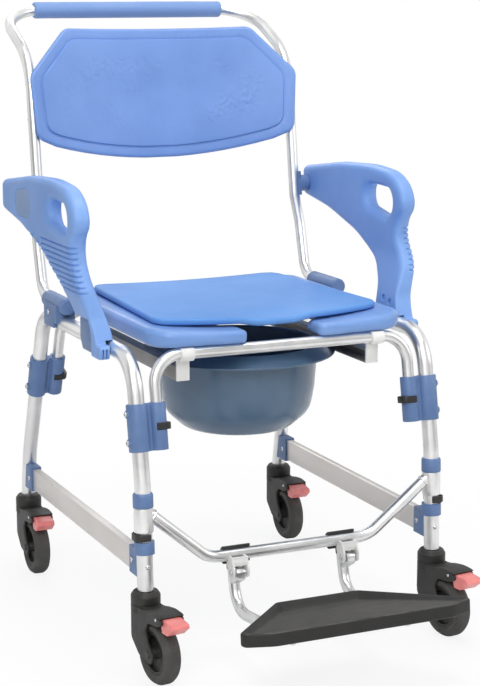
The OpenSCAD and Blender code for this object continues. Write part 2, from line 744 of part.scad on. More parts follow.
module footplate() {
    color([0.20, 0.20, 0.21]) place() translate([0, plate_back_y, plate_back_z]) rotate([-plate_tilt, 0, 0])
        difference() {
            linear_extrude(height = plate_t) plate_outline(0);
            translate([0, 0, plate_t - plate_recess])
                linear_extrude(height = plate_t) plate_outline(plate_rim);
        }
}

// Armrests: a side outline, and a front outline that swings out from the foot to the arm
arm_pivot = [518, rail_h + arm_pivot_h];
arm_x = back_half + arm_out;
arm_foot_x = half_w + arm_foot_out;
arm_face_x = arm_x - arm_t / 2;
rail_gap = 0.5;
skirt_x = half_w + frame_r + rail_gap;
rail_low = rail_h - frame_r;
latch_y = [148, 202];
latch_z = [rail_low, rail_low + 56];
latch_t = 16;
latch_pin_d = 5;
latch_pin_in = 7;
latch_pin = [skirt_x + latch_t / 2, latch_z[1] - 8];
module arm_side() {
    translate([0, rail_h]) polygon(rounded(
        [[533, 223], [400, 248], [262, 255], [180, 243], [164, 211], [193, 155], [160, 93], [140, 43],
         [127, frame_r - 5], [108, frame_r - 5], [108, -frame_r], [146, -frame_r], [146, frame_r],
         [197, frame_r], [212, 43], [250, 95], [330, 133], [440, 162], [533, 176]],
        [10, 300, 150, 32, 26, 45, 60, 60, 4, 4, 4, 3, 0, 3, 60, 90, 250, 300, 12]));
}
module arm_front() {
    bend_z = [rail_h + 43, rail_h + 103];
    half = arm_t / 2;
    polygon(rounded([[arm_foot_x - half, 0], [arm_foot_x - half, bend_z[0]], [arm_x - half, bend_z[1]],
                     [arm_x - half, handle_z], [arm_x + half, handle_z], [arm_x + half, bend_z[1]],
                     [arm_foot_x + half, bend_z[0]], [arm_foot_x + half, 0]],
                    [0, 120, 120, 0, 0, 120, 120, 0]));
}
// An opening round two circles of different size
module two_circles(a, b) {
    way = [b.x - a.x, b.y - a.y] / norm([b.x - a.x, b.y - a.y]);
    tilt = (a.z - b.z) / norm([b.x - a.x, b.y - a.y]);
    rise = sqrt(1 - tilt * tilt);
    up = [tilt * way.x - rise * way.y, tilt * way.y + rise * way.x];
    down = [tilt * way.x + rise * way.y, tilt * way.y - rise * way.x];
    for (c = [a, b])
        translate([c.x, c.y]) circle(r = c.z);
    polygon([[a.x, a.y] + up * a.z, [b.x, b.y] + up * b.z, [b.x, b.y] + down * b.z, [a.x, a.y] + down * a.z]);
}
hand_hole = [[219, rail_h + 200, 24], [299, rail_h + 207, 16]];
medallion = [[405, rail_h + 202, 26], [444, rail_h + 199, 23]];
medallion_depth = 1.5;
groove_z = [rail_h + 86, rail_h + 154];
groove_y = [[172, 226], [202, 298]];
groove_count = 9;
groove_w = 3.2;
groove_depth = 1.8;
module armrest(s) {
    color([0.45, 0.61, 0.88]) place() side(s) difference() {
        intersection() {
            plate_yz(half_w - arm_t, arm_x + arm_t) arm_side();
            arm_band();
        }
        plate_yz(half_w, arm_x + arm_t) two_circles(hand_hole[0], hand_hole[1]);
        plate_yz(arm_x + arm_t / 2 - medallion_depth, arm_x + arm_t) two_circles(medallion[0], medallion[1]);
        grip_grooves();
        block([half_w - arm_t, 0, rail_low - over],
              [skirt_x, latch_y[1] + arm_t, rail_h + frame_r + rail_gap]);
        block([skirt_x - 2 * swing_gap, latch_y[0] - slide_gap, rail_low - over],
              [arm_x + arm_t, latch_y[1] + arm_t, latch_z[1] + 3 * swing_gap]);
        translate([latch_pin.x, 0, latch_pin.y])
            along_y(latch_y[0] - latch_pin_in - over, latch_y[0], latch_pin_d + 2 * pin_gap);
        translate([0, arm_pivot.x, arm_pivot.y]) along_x(half_w, arm_pin_end, arm_pin_d + 2 * pin_gap);
    }
}
// Grip grooves across the outer face of the post, each as deep as the next wherever the face leans
module arm_band() {
    translate([0, handle_y, 0]) rotate([90, 0, 0]) linear_extrude(height = handle_y) arm_front();
}
module grip_grooves() {
    difference() {
        for (k = [0 : groove_count - 1]) {
            rise = k / (groove_count - 1);
            z = groove_z[0] + (groove_z[1] - groove_z[0]) * rise;
            y = groove_y[0] + (groove_y[1] - groove_y[0]) * rise;
            block([arm_x - arm_t / 4, y[0], z - groove_w / 2], [arm_x + arm_t, y[1], z + groove_w / 2]);
        }
        translate([-groove_depth, 0, 0]) arm_band();
    }
}
module armrest_latch(s) {
    out = skirt_x + latch_t;
    color([0.36, 0.52, 0.74]) place() side(s) {
        translate([0, latch_y[1], 0]) rotate([90, 0, 0]) linear_extrude(height = latch_y[1] - latch_y[0])
            polygon(rounded([[skirt_x + slide_gap, latch_z[0]], [out - 4, latch_z[0]], [out, latch_z[0] + 20],
                             [out, latch_z[1]], [skirt_x + slide_gap, latch_z[1]]], [3, 4, 12, 5, 5]));
        translate([latch_pin.x, 0, latch_pin.y])
            along_y(latch_y[0] - latch_pin_in, latch_y[0] + latch_pin_in, latch_pin_d);
    }
}

// Armrest hinge on the back tube: a ring with a boss that carries the pin
back_low = [513, rail_h + 178];
back_high = [549, handle_z - 82];
back_lean = lean(back_low, back_high);
hinge_h = 44;
boss_r = 15;
boss_end = arm_face_x - slide_gap;
arm_pin_end = arm_x + arm_t / 2 - 3;
arm_pin_start = back_half + bar_r + 3;
module on_back_tube(z) {
    translate([back_half, along(back_low, back_high, z), z]) rotate([-back_lean, 0, 0]) children();
}
module armrest_brackets() {
    color([0.33, 0.47, 0.70]) place() both() difference() {
        union() {
            on_back_tube(arm_pivot.y) translate([0, 0, -hinge_h / 2]) cylinder(r = bar_r + 4.5, h = hinge_h);
            translate([0, arm_pivot.x, arm_pivot.y]) along_x(back_half, boss_end, boss_r * 2);
        }
        on_back_tube(arm_pivot.y) translate([0, 0, -hinge_h]) cylinder(r = bar_r + fit, h = 2 * hinge_h);
        translate([0, arm_pivot.x, arm_pivot.y])
            along_x(arm_pin_start - fit, boss_end + over, arm_pin_d + 2 * fit);
    }
}
module hinge_pins() {
    half = cheek_gap / 2 + cheek_t;
    color("silver") place() both() {
        translate([0, arm_pivot.x, arm_pivot.y]) along_x(arm_pin_start, arm_pin_end - 1, arm_pin_d);
        translate([foot_arm_x, foot_pivot.x, foot_pivot.y]) {
            along_x(-half - 1, half + 1, foot_pin_d);
            for (k = [-1, 1])
                along_x(k > 0 ? half : -half - 2, k > 0 ? half + 2 : -half, foot_pin_d + 4);
        }
    }
}

// Back frame, its grip, sockets and panel
socket_z = rail_h + 30;
back_start_y = 330;
handle_bend_r = 60;
back_path = [[half_w, back_start_y, socket_z], [half_w, 478, socket_z], [half_w, 505, socket_z + 98],
             [back_half, back_low.x, back_low.y], [back_half, back_high.x, back_high.y],
             [back_half, handle_y, handle_z]];
back_bends = [0, 40, 60, 60, 70, handle_bend_r];
function flipped(p) = [for (i = [len(p) - 1 : -1 : 0]) [-p[i].x, p[i].y, p[i].z]];
panel_screw_z = [back_low.y + 155, back_low.y + 215];
module at_panel_screws() {
    for (z = panel_screw_z)
        on_back_tube(z) rotate(atan2(panel_axis_y, -back_half)) children();
}
module back_frame() {
    color("gainsboro") place() difference() {
        pipe(concat(back_path, flipped(back_path)), again(back_bends), bar_tube_d);
        both() at_panel_screws() along_x(-bar_tube_d, bar_tube_d, screw_d + 2 * fit);
    }
}
grip_end_r = 4;
module push_grip() {
    l = 2 * (back_half - handle_bend_r - grip_gap);
    color([0.33, 0.50, 0.80]) place() translate([-l / 2, handle_y, handle_z]) rotate([0, 90, 0])
        rotate_extrude() polygon(rounded(
            [[bar_r + fit, 0], [grip_d / 2, 0], [grip_d / 2, l], [bar_r + fit, l]],
            [0, grip_end_r, grip_end_r, 0]));
}
socket_y = [322, 445];
saddle_y = [375, 425];
saddle_half = frame_r + 4.3;
socket_wall = 5;
collar_l = 38;
socket_screw_z = rail_h + 15;
module back_sockets() {
    color([0.33, 0.47, 0.70]) place() both() difference() {
        translate([half_w, 0, 0]) difference() {
            union() {
                translate([0, 0, socket_z]) along_y(socket_y[0], socket_y[1], bar_tube_d + 2 * socket_wall);
                translate([0, 0, socket_z]) along_y(socket_y[0], socket_y[0] + collar_l, bar_tube_d + 14);
                block([-saddle_half, saddle_y[0], rail_h - 9], [saddle_half, saddle_y[1], socket_z]);
                block([-saddle_half, socket_y[0] + 8, rail_h], [saddle_half, saddle_y[1] - over, socket_z]);
            }
            translate([0, 0, socket_z]) along_y(back_start_y - fit, socket_y[1] + over, bar_tube_d + 2 * fit);
            translate([0, 0, rail_h]) along_y(socket_y[0], saddle_y[1] + over, frame_tube_d + 2 * fit);
        }
        at_socket_screw() along_x(-screw_in - screw_gap, over, screw_d + 2 * fit);
    }
}
module at_socket_screw() {
    translate([half_w + saddle_half, (saddle_y[0] + saddle_y[1]) / 2, socket_screw_z]) children();
}
module socket_screw() {
    at_socket_screw() mirror([1, 0, 0]) screw(screw_in);
}
panel_screw_in = 7;
panel_axis_y = -sqrt(pow(panel_curve_r + panel_t + bar_r + fit, 2) - pow(back_half, 2));
module panel_screws() {
    at_panel_screws() translate([-bar_r, 0, 0]) screw(2 * bar_r + fit + panel_screw_in);
}
// A slice between two radii about the panel's axis, as an outline seen from above
module panel_band(r0, r1) {
    half = asin((back_half + 4 * panel_side) / panel_curve_r);
    steps = 36;
    turns = [for (k = [0 : steps]) -half + 2 * half * k / steps];
    translate([0, panel_axis_y]) polygon(concat([for (a = turns) r1 * [sin(a), cos(a)]],
        [for (i = [steps : -1 : 0]) r0 * [sin(turns[i]), cos(turns[i])]]));
}
// The panel's outline, each edge moved in by d
panel_top = 314;
module panel_outline(d) {
    w = back_half + panel_side;
    polygon(rounded(mirrored([[0, 82 + d], [w - 126, 91 + d], [w - 8 - d, 121 + d * 0.8],
                              [w - d, 230 - d * 0.39], [w - 77 - d * 0.44, panel_top - d]]),
                    again([0, 200, 22, 26, 24])));
}
module panel_solid(d, r0, r1) {
    intersection() {
        linear_extrude(height = panel_top + over) panel_band(r0, r1);
        translate([0, back_half, 0]) rotate([90, 0, 0])
            linear_extrude(height = 2 * back_half) panel_outline(d);
    }
}
module backrest_panel() {
    color([0.45, 0.61, 0.88]) place() difference() {
        translate([0, back_low.x, back_low.y]) rotate([-back_lean, 0, 0]) {
            panel_solid(0, panel_curve_r + panel_step, panel_curve_r + panel_t);
            panel_solid(panel_rim, panel_curve_r, panel_curve_r + panel_t - over);
        }
        both() at_panel_screws() along_x(0, bar_r + fit + panel_screw_in + 0.4, screw_d + 2 * fit);
    }
}

// Seat: a horseshoe with a dished top
seat_z = rail_h + bar_r + fit;
seat_half = half_w - frame_r - seat_gap;
seat_y = [34, 484];
hole_y = [170, 330];
dish_r = 2000;
function sag(r, x) = r - sqrt(r * r - x * x);
function arc_points(half, r, steps) =
    [for (k = [-steps : steps]) let (x = half * k / steps) [x, sag(r, x)]];
module seat() {
    half = seat_half;
    slot = seat_slot_w / 2;
    hole_r = seat_hole_w / 2;
    wide = half + over;
    dish = [for (q = arc_points(wide, dish_r, 16)) [q.x, q.y + seat_t - sag(dish_r, half)]];
    color([0.42, 0.60, 0.88]) place() translate([0, 0, seat_z]) difference() {
        linear_extrude(height = seat_t) polygon(rounded(
            [[slot, seat_y[0]], [half, seat_y[0]], [half, seat_y[1]], [-half, seat_y[1]], [-half, seat_y[0]],
             [-slot, seat_y[0]], [-slot, hole_y[0]], [slot, hole_y[0]]],
            [24, 48, 46, 46, 48, 24, 0, 0]));
        for (y = hole_y)
            translate([0, y, -over]) cylinder(r = hole_r, h = seat_t + 2 * over);
        block([-hole_r, hole_y[0], -over], [hole_r, hole_y[1], seat_t + over]);
        translate([0, seat_y[1] + over, 0]) rotate([90, 0, 0])
            linear_extrude(height = seat_y[1] - seat_y[0] + 2 * over)
                polygon(concat(dish, [[wide, 2 * seat_t], [-wide, 2 * seat_t]]));
    }
}
cover_y = 84;
cover_bow = 18;
cover_r = 4000;
cover_rest = 0.3;
module seat_cover() {
    half = seat_half - cover_front_in;
    back = seat_half - cover_rear_in;
    end = cover_y + cover_l;
    rest_z = seat_z + seat_t - sag(dish_r, seat_half) + sag(dish_r, half);
    under = [for (q = arc_points(half + over, cover_r, 12)) [q.x, q.y - sag(cover_r, half)]];
    top = [for (i = [len(under) - 1 : -1 : 0]) under[i] + [0, cover_t]];
    bow = [for (k = [0 : 12]) let (w = k / 6 - 1) [half * w * 0.86, cover_y - cover_bow * (1 - w * w)]];
    right_side = [[half * 0.97, cover_y + 8], [half, cover_y + 26], [back, end - 28], [back - 8, end - 8],
                  [back - 28, end]];
    left_side = [for (i = [len(right_side) - 1 : -1 : 0]) [-right_side[i].x, right_side[i].y]];
    color([0.47, 0.67, 0.94]) place() translate([0, 0, rest_z + cover_rest]) intersection() {
        translate([0, end + over, 0]) rotate([90, 0, 0])
            linear_extrude(height = cover_l + cover_bow + 2 * over) polygon(concat(under, top));
        translate([0, 0, -cover_t]) linear_extrude(height = 3 * cover_t)
            polygon(concat(bow, right_side, left_side));
    }
}

// Pan with a flat rim that rests in two channels
channel_low = rail_h - pan_rail_drop;
channel_t = 2.5;
channel_x = end_x - pan_rail_in;
channel_lip = channel_x - pan_rail_w;
channel_y = [59, 462];
rim_t = 4;
rim_rest = 0.3;
rim_low = channel_low + channel_t + rim_rest;
rim_r = channel_x - channel_t - pan_rim_gap;
module pan() {
    r = rim_r - pan_rim_w;
    base_z = rim_low + rim_t - pan_depth;
    base_r = r - 46;
    outer = [[base_r, base_z], [r - 12, base_z + 30], [r - 5, base_z + 70], [r, rim_low]];
    side = [-pan_wall, pan_wall / 4];
    shift = [[-pan_wall / 2, pan_wall], side, side, [-pan_wall, rim_t]];
    inner = [for (i = [len(outer) - 1 : -1 : 0]) outer[i] + shift[i]];
    rim = [[rim_r, rim_low], [rim_r, rim_low + rim_t]];
    color([0.33, 0.43, 0.53]) place() translate([0, pan_y, 0]) rotate_extrude()
        polygon(rounded(concat([[0, base_z]], outer, rim, inner, [[0, base_z + pan_wall]]),
                        [0, 30, 40, 0, 1.5, 1.5, 1.5, 1.5, 0, 40, 30, 0]));
}
module pan_rails() {
    web = channel_x - channel_t;
    top = channel_low + pan_rail_h;
    color("whitesmoke") place() both() translate([0, channel_y[1], 0]) rotate([90, 0, 0])
        linear_extrude(height = channel_y[1] - channel_y[0]) polygon(
            [[channel_lip, channel_low], [channel_x, channel_low], [channel_x, top], [channel_lip, top],
             [channel_lip, top - channel_t], [web, top - channel_t], [web, channel_low + channel_t],
             [channel_lip, channel_low + channel_t]]);
}
module rail_hangers() {
    low = [channel_lip, channel_x];
    sleeve = bar_r + 3;
    plate = 4;
    top = channel_low + pan_rail_h + fit;
    color("whitesmoke") place() both() difference() {
        union() {
            for (p = [front_top, rear_top])
                translate([0, p.x, p.y]) along_x(low[0], low[1], 2 * sleeve);
            block([low[0], channel_y[0] - fit - plate, channel_low],
                  [low[1], channel_y[0] - fit, rail_h + 3]);
            block([low[0], channel_y[1] - plate, top], [low[1], channel_y[1], rail_h + 3]);
            block([low[0], channel_y[1] - 24, top], [low[1], channel_y[1], top + plate]);
        }
        for (p = [front_top, rear_top])
            translate([0, p.x, p.y]) along_x(low[0] - over, low[1] + over, bar_tube_d + 2 * fit);
        block([low[0] - over, 0, seat_z - fit], [low[1] + over, wheelbase, seat_z + sleeve]);
    }
}

FIXED = ["side_frame_left", "side_frame_right", "front_crossbar", "rear_crossbar", "frame_clamps",
         "frame_screws", "side_bars", "side_bar_brackets", "caster_stems", "footrest_bar", "footrest_collars",
         "footplate_brackets", "footplate_bumpers", "footplate_arms", "footplate", "armrest_left",
         "armrest_right", "armrest_latch_left", "armrest_latch_right", "armrest_brackets", "hinge_pins",
         "back_frame", "push_grip", "back_sockets", "backrest_panel", "seat", "seat_cover", "pan",
         "pan_rails", "rail_hangers", "footrest_clip_left", "footrest_clip_right"];
corner_names = ["front_left", "front_right", "rear_left", "rear_right"];
CORNERS = ["caster_fork_", "caster_tyre_", "caster_hub_", "caster_axle_", "brake_pedal_", "lock_clip_",
           "stem_button_"];

side_frame(1);  // side_frame_left
side_frame(-1);  // side_frame_right
front_crossbar();
rear_crossbar();
frame_clamps();
frame_screws();
side_bars();
side_bar_brackets();
caster_stems();
footrest_bar();
footrest_collars();
footplate_brackets();
footplate_bumpers();
footplate_arms();
footplate();
armrest(1);  // armrest_left
armrest(-1);  // armrest_right
armrest_latch(1);  // armrest_latch_left
armrest_latch(-1);  // armrest_latch_right
armrest_brackets();
hinge_pins();
back_frame();
push_grip();
back_sockets();
backrest_panel();
seat();
seat_cover();
pan();
pan_rails();
rail_hangers();
footrest_clip(1);  // footrest_clip_left
footrest_clip(-1);  // footrest_clip_right
for (n = [0 : 3]) {
    caster_fork(n);
    caster_tyre(n);
    caster_hub(n);
    caster_axle(n);
    brake_pedal(n);
    lock_clip(n % 2 == 0 ? 1 : -1, n < 2);
    stem_button(n);
}
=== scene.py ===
"""Shower commode chair: the finish of every piece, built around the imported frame.

The builders draw in millimetres, the way the part is drawn: X to the sitter's left, Y back from the front
caster stems, Z up from the floor. metres() turns that into the frame, which is in metres.
"""
import json
import math
from contextlib import contextmanager

import bmesh
import bpy
import numpy as np
from mathutils import Matrix, Vector
from mathutils.geometry import delaunay_2d_cdt


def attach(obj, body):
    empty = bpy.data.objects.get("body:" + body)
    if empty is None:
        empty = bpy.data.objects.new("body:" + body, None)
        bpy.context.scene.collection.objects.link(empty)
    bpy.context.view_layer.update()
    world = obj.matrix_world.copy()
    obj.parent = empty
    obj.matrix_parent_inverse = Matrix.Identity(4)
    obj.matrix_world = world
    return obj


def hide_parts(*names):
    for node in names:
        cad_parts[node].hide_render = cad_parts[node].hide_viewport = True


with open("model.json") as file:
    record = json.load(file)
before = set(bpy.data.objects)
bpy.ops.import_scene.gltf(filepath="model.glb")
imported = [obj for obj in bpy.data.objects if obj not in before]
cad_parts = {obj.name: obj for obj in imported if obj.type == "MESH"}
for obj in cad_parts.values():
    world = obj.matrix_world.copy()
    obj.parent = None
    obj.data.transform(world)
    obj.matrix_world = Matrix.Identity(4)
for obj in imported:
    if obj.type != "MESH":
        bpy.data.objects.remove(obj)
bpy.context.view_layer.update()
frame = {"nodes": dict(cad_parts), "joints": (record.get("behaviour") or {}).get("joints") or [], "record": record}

NODES = frame["nodes"]
RECORD = frame["record"]
JOINTS = {joint["name"]: joint for joint in frame["joints"]}
BODY = {node: body for body, nodes in RECORD["behaviour"]["bodies"].items() for node in nodes}
SLOT = {part["node"]: part["material_slot"] for part in RECORD["subparts"]}
CORNERS = ("front_left", "front_right", "rear_left", "rear_right")
SIDES = (("left", 1), ("right", -1))

# Places that the frame's joints give, in millimetres
MM = 1000.0
STEM = [MM * v for v in JOINTS["swivel_front_left"]["pos_m"]]
REAR_STEM = [MM * v for v in JOINTS["swivel_rear_left"]["pos_m"]]
ARM_HINGE = [MM * v for v in JOINTS["armrest_flip_left"]["pos_m"]]
HALF_W = STEM[0]
WHEELBASE = REAR_STEM[1] - STEM[1]
ARM_X = ARM_HINGE[0]

# Tubes, and the clearance of what sits on them
FRAME_R = 12.7
BAR_R = 9.5
FIT = 0.05
RAIL_Z = 497
LEG_FOOT_Z = 137.6
FRONT_FOOT = (0, LEG_FOOT_Z)
FRONT_KNEE = (8.5, 305)
FRONT_TOP = (44, RAIL_Z)
REAR_FOOT = (WHEELBASE, LEG_FOOT_Z)
REAR_KNEE = (WHEELBASE - 16, 225)
REAR_TOP = (WHEELBASE - 118, RAIL_Z)
KNEE_BEND = 150
RAIL_BEND = 65

# Each clamp's leg run, as (y, z) points, and the height of its middle
CLAMPS = {"front": (FRONT_KNEE, FRONT_TOP, 391), "rear": (REAR_KNEE, REAR_TOP, 376)}


def metres(points):
    """Drawing millimetres to the frame's metres."""
    return (np.asarray(points, float) + (0, STEM[1], 0)) / MM


def along(a, b, z):
    """Y at height z on the line through two (y, z) points."""
    return a[0] + (z - a[1]) * (b[0] - a[0]) / (b[1] - a[1])


def lean_of(low, high):
    """How far the line through two (y, z) points leans back from upright."""
    return math.atan2(high[0] - low[0], high[1] - low[1])


def front_leg_y(z):
    """Y of a front leg's lower run at height z."""
    return along(FRONT_FOOT, FRONT_KNEE, z)


# Node graphs
class Val:
    """One socket of a node graph. Sums and products of values add Math nodes."""

    def __init__(self, graph, socket):
        self.graph = graph
        self.socket = socket

    def math(self, operation, first, second):
        return self.graph.node("ShaderNodeMath", {"operation": operation}, {0: first, 1: second})

    def __add__(self, other):
        return self.math("ADD", self, other)

    def __radd__(self, other):
        return self.math("ADD", other, self)

    def __sub__(self, other):
        return self.math("SUBTRACT", self, other)

    def __rsub__(self, other):
        return self.math("SUBTRACT", other, self)

    def __mul__(self, other):
        return self.math("MULTIPLY", self, other)

    def __rmul__(self, other):
        return self.math("MULTIPLY", other, self)

    def out(self, name):
        """Another output of the same node."""
        return Val(self.graph, self.socket.node.outputs[name])


class Graph:
    """A node tree that is filled by one method."""

    def __init__(self, tree):
        self.tree = tree

    def node(self, kind, settings=None, values=None, out=0):
        made = self.tree.nodes.new(kind)
        for key, value in (settings or {}).items():
            if key == "captures":
                for name, data_type in value:
                    made.capture_items.new(data_type, name)
            else:
                setattr(made, key, value)
        for key, value in (values or {}).items():
            self.put(made.inputs[key], value)
        return Val(self, made.outputs[out]) if len(made.outputs) else made

    def put(self, socket, value):
        if isinstance(value, Val):
            self.tree.links.new(value.socket, socket)
        else:
            socket.default_value = value


def srgb(r, g, b):
    """A screen colour of 0 to 255 a channel as linear RGBA."""
    def linear(c):
        c /= 255
        return c / 12.92 if c <= 0.04045 else ((c + 0.055) / 1.055) ** 2.4
    return (linear(r), linear(g), linear(b), 1)


class Look(Graph):
    """A material: object coordinates in metres, noises, masks, bumps and one Principled surface."""

    def __init__(self, name):
        self.material = bpy.data.materials.new(name)
        self.material.use_nodes = True
        super().__init__(self.material.node_tree)
        self.tree.nodes.clear()
        self.coords = self.node("ShaderNodeTexCoord", out="Object")

    def noise(self, scale, detail=2.0, rough=0.5, warp=0.0, where=None):
        values = {"Scale": scale, "Detail": detail, "Roughness": rough, "Distortion": warp}
        return self.node("ShaderNodeTexNoise", None, {"Vector": where or self.coords, **values})

    def cells(self, scale, feature="F1", where=None):
        return self.node("ShaderNodeTexVoronoi", {"feature": feature},
                         {"Vector": where or self.coords, "Scale": scale}, out="Distance")

    def stretched(self, x, y, z, where=None):
        return self.node("ShaderNodeMapping", None, {"Vector": where or self.coords, "Scale": (x, y, z)})

    def attribute(self, name, out="Fac"):
        return self.node("ShaderNodeAttribute", {"attribute_name": name}, out=out)

    def ease(self, value, low, high, to_low=0.0, to_high=1.0):
        return self.node("ShaderNodeMapRange", {"interpolation_type": "SMOOTHSTEP"},
                         {0: value, 1: low, 2: high, 3: to_low, 4: to_high})

    def tint(self, factor, a, b):
        return self.node("ShaderNodeMix", {"data_type": "RGBA"}, {0: factor, 6: a, 7: b}, out=2)

    def bump(self, height, strength, depth, under=None):
        values = {"Height": height, "Strength": strength, "Distance": depth}
        if under:
            values["Normal"] = under
        return self.node("ShaderNodeBump", None, values)

    def shade(self, **sockets):
        names = {key.replace("_", " ").title().replace("Ior", "IOR"): value for key, value in sockets.items()}
        surface = self.node("ShaderNodeBsdfPrincipled", None, names)
        self.node("ShaderNodeOutputMaterial", None, {"Surface": surface})
        return self.material


# Materials
def drawn_aluminium():
    """Satin anodised tube: faint draw lines along it, soft smudges, a grain that dulls the shine."""
    look = Look("drawn_aluminium")
    around = look.attribute("around", "Vector")
    run = look.attribute("run")
    parts = look.node("ShaderNodeSeparateXYZ", None, {0: around})
    path = look.node("ShaderNodeCombineXYZ", None,
                     {0: parts.out("X") * 26, 1: parts.out("Y") * 26, 2: run * 5})
    lines = look.noise(1.0, 3, 0.6, where=path)
    smudge = look.noise(14, 3, 0.55, 0.4)
    grain = look.noise(900, 1)
    colour = look.tint(look.ease(smudge, 0.35, 0.7), srgb(222, 222, 222), srgb(238, 238, 237))
    rough = 0.25 + 0.1 * lines + 0.06 * look.ease(smudge, 0.4, 0.75)
    lined = look.bump(lines, 0.06, 0.0004)
    return look.shade(base_color=colour, metallic=1.0, roughness=rough,
                      normal=look.bump(grain, 0.03, 0.0001, lined))


def flat_aluminium():
    """Extruded side bar: brushed lines along its length and a warm grey anodise."""
    look = Look("flat_aluminium")
    lines = look.noise(1, 3, 0.6, where=look.stretched(900, 6, 900))
    patch = look.noise(9, 2)
    colour = look.tint(patch, srgb(206, 202, 198), srgb(222, 219, 216))
    rough = 0.36 + 0.12 * lines
    return look.shade(base_color=colour, metallic=0.85, roughness=rough,
                      normal=look.bump(lines, 0.08, 0.0003))


def zinc_steel():
    """Plated fasteners and pins: bright, a little clouded, with turning marks."""
    look = Look("zinc_steel")
    cloud = look.noise(220, 3)
    colour = look.tint(cloud, srgb(176, 178, 180), srgb(226, 227, 228))
    return look.shade(base_color=colour, metallic=1.0, roughness=0.16 + 0.16 * cloud,
                      normal=look.bump(look.noise(1400, 1), 0.05, 0.0001))


def moulded_plastic(name, dark, light, rough, grain, grain_depth, patch_scale=18, coat=0.0, shine=0.5):
    """A moulded plastic: slow colour drift, moulding haze in the gloss and a fine surface grain."""
    look = Look(name)
    drift = look.noise(patch_scale, 3, 0.55)
    haze = look.noise(patch_scale * 2.5, 4, 0.6, 0.3)
    colour = look.tint(look.ease(drift, 0.3, 0.72), srgb(*dark), srgb(*light))
    gloss = rough - 0.06 + 0.12 * haze
    fine = look.noise(grain, 2, 0.55)
    return look.shade(base_color=colour, roughness=gloss, coat_weight=coat, coat_roughness=0.25,
                      specular_ior_level=shine, normal=look.bump(fine, 0.25, grain_depth))


def pebbled_shell(name, dark, light, creases):
    """Blow-moulded shell: pebble skin, a painted highlight along the edges, and creases where the panel has
    flexed, with painted shade in their folds.
    """
    look = Look(name)
    drift = look.noise(7, 3, 0.5)
    edge = look.attribute("edge")
    # Paler within 6 mm of the edge, in noisy patches: a painted highlight.
    painted_edge_highlight = look.ease(edge, 0.0, 0.006, 1.0, 0.0) * look.noise(60, 3)
    colour = look.tint(look.ease(drift, 0.3, 0.7), srgb(*dark), srgb(*light))
    pale = tuple(min(255, c + 26) for c in light)
    highlighted = look.tint(0.35 * painted_edge_highlight, colour, srgb(*pale))
    pebble = look.bump(look.cells(520), 0.22, 0.0004)
    rough = 0.4 + 0.1 * look.noise(30, 4, 0.6)
    if not creases:
        return look.shade(base_color=highlighted, roughness=rough, normal=pebble)
    warp = look.noise(26, 3, 0.6)
    bent = look.node("ShaderNodeVectorMath", {"operation": "MULTIPLY_ADD"},
                     {0: warp.out("Color"), 1: (0.03, 0.03, 0.03), 2: look.coords})
    crackle = look.cells(120, "SMOOTH_F1", bent)
    folds = look.ease(crackle, 0.15, 0.75)
    zone = look.ease(look.noise(9, 2, 0.5, 0.5), 0.38, 0.62) * look.ease(edge, 0.03, 0.075)
    # The folds are darkened a little: painted shade in the creases.
    crease_painted_shade = look.tint(0.1 * (folds * zone), highlighted, srgb(*[int(c * 0.8) for c in dark]))
    creased = look.bump(folds * zone, 0.55, 0.0014, pebble)
    return look.shade(base_color=crease_painted_shade, roughness=rough, normal=creased)


def foam_sleeve():
    """Closed-cell foam on the push handle: pin holes, a soft sheen and faint slicks where hands rub."""
    look = Look("foam_sleeve")
    pores = look.cells(950)
    slick = look.ease(look.noise(20, 3), 0.45, 0.7)
    colour = look.tint(look.ease(pores, 0.0, 0.5), srgb(98, 130, 184), srgb(118, 150, 204))
    return look.shade(base_color=colour, roughness=0.62 - 0.16 * slick, sheen_weight=0.2,
                      normal=look.bump(pores, 0.3, 0.0005))


def tread_plastic():
    """Foot plate: walls darkened with painted shade, a greyer scuffed tread and a painted highlight along its
    front lip.
    """
    look = Look("tread_plastic")
    edge = look.attribute("edge")
    y = look.node("ShaderNodeSeparateXYZ", None, {0: look.coords}).out("Y")
    heel = look.ease(y, -0.482, -0.445)
    tread = look.ease(edge, 0.013, 0.018) * heel + look.ease(edge, 0.006, 0.008) * (1 - heel)
    scuffs = look.noise(1, 4, 0.65, 0.4, look.stretched(26, 150, 40))
    # Everything near the edge, widest at the heel, is made dark: painted shade on the walls.
    painted_wall_shade = look.tint(look.noise(40, 3), srgb(34, 33, 32), srgb(43, 42, 41))
    trodden = look.tint(look.ease(scuffs, 0.35, 0.7), srgb(62, 61, 59), srgb(78, 77, 74))
    # A pale line along the front lip, broken up by the scuffs: a painted highlight.
    lip = look.ease(edge, 0.0006, 0.0014) * look.ease(edge, 0.003, 0.006, 1.0, 0.0) * (1 - heel)
    painted_edge_highlight = 0.5 * lip * look.ease(scuffs, 0.3, 0.6)
    colour = look.tint(painted_edge_highlight, look.tint(tread, painted_wall_shade, trodden), srgb(112, 110, 106))
    rough = 0.52 + 0.12 * scuffs
    grain = look.bump(look.cells(420), 0.3, 0.0006)
    return look.shade(base_color=colour, roughness=rough, specular_ior_level=0.35,
                      normal=look.bump(scuffs, 0.15, 0.0006, grain))


def rubber(name, dark, light, rough):
    """Moulded rubber: matt, dusty in patches, with a scuffed skin."""
    look = Look(name)
    dust = look.ease(look.noise(40, 4, 0.6), 0.45, 0.75)
    scuff = look.noise(1, 3, 0.6, where=look.stretched(320, 90, 320))
    colour = look.tint(dust, srgb(*dark), srgb(*light))
    return look.shade(base_color=colour, roughness=rough + 0.1 * dust - 0.06 * scuff,
                      normal=look.bump(look.noise(800, 2), 0.2, 0.0003, look.bump(scuff, 0.1, 0.0004)))


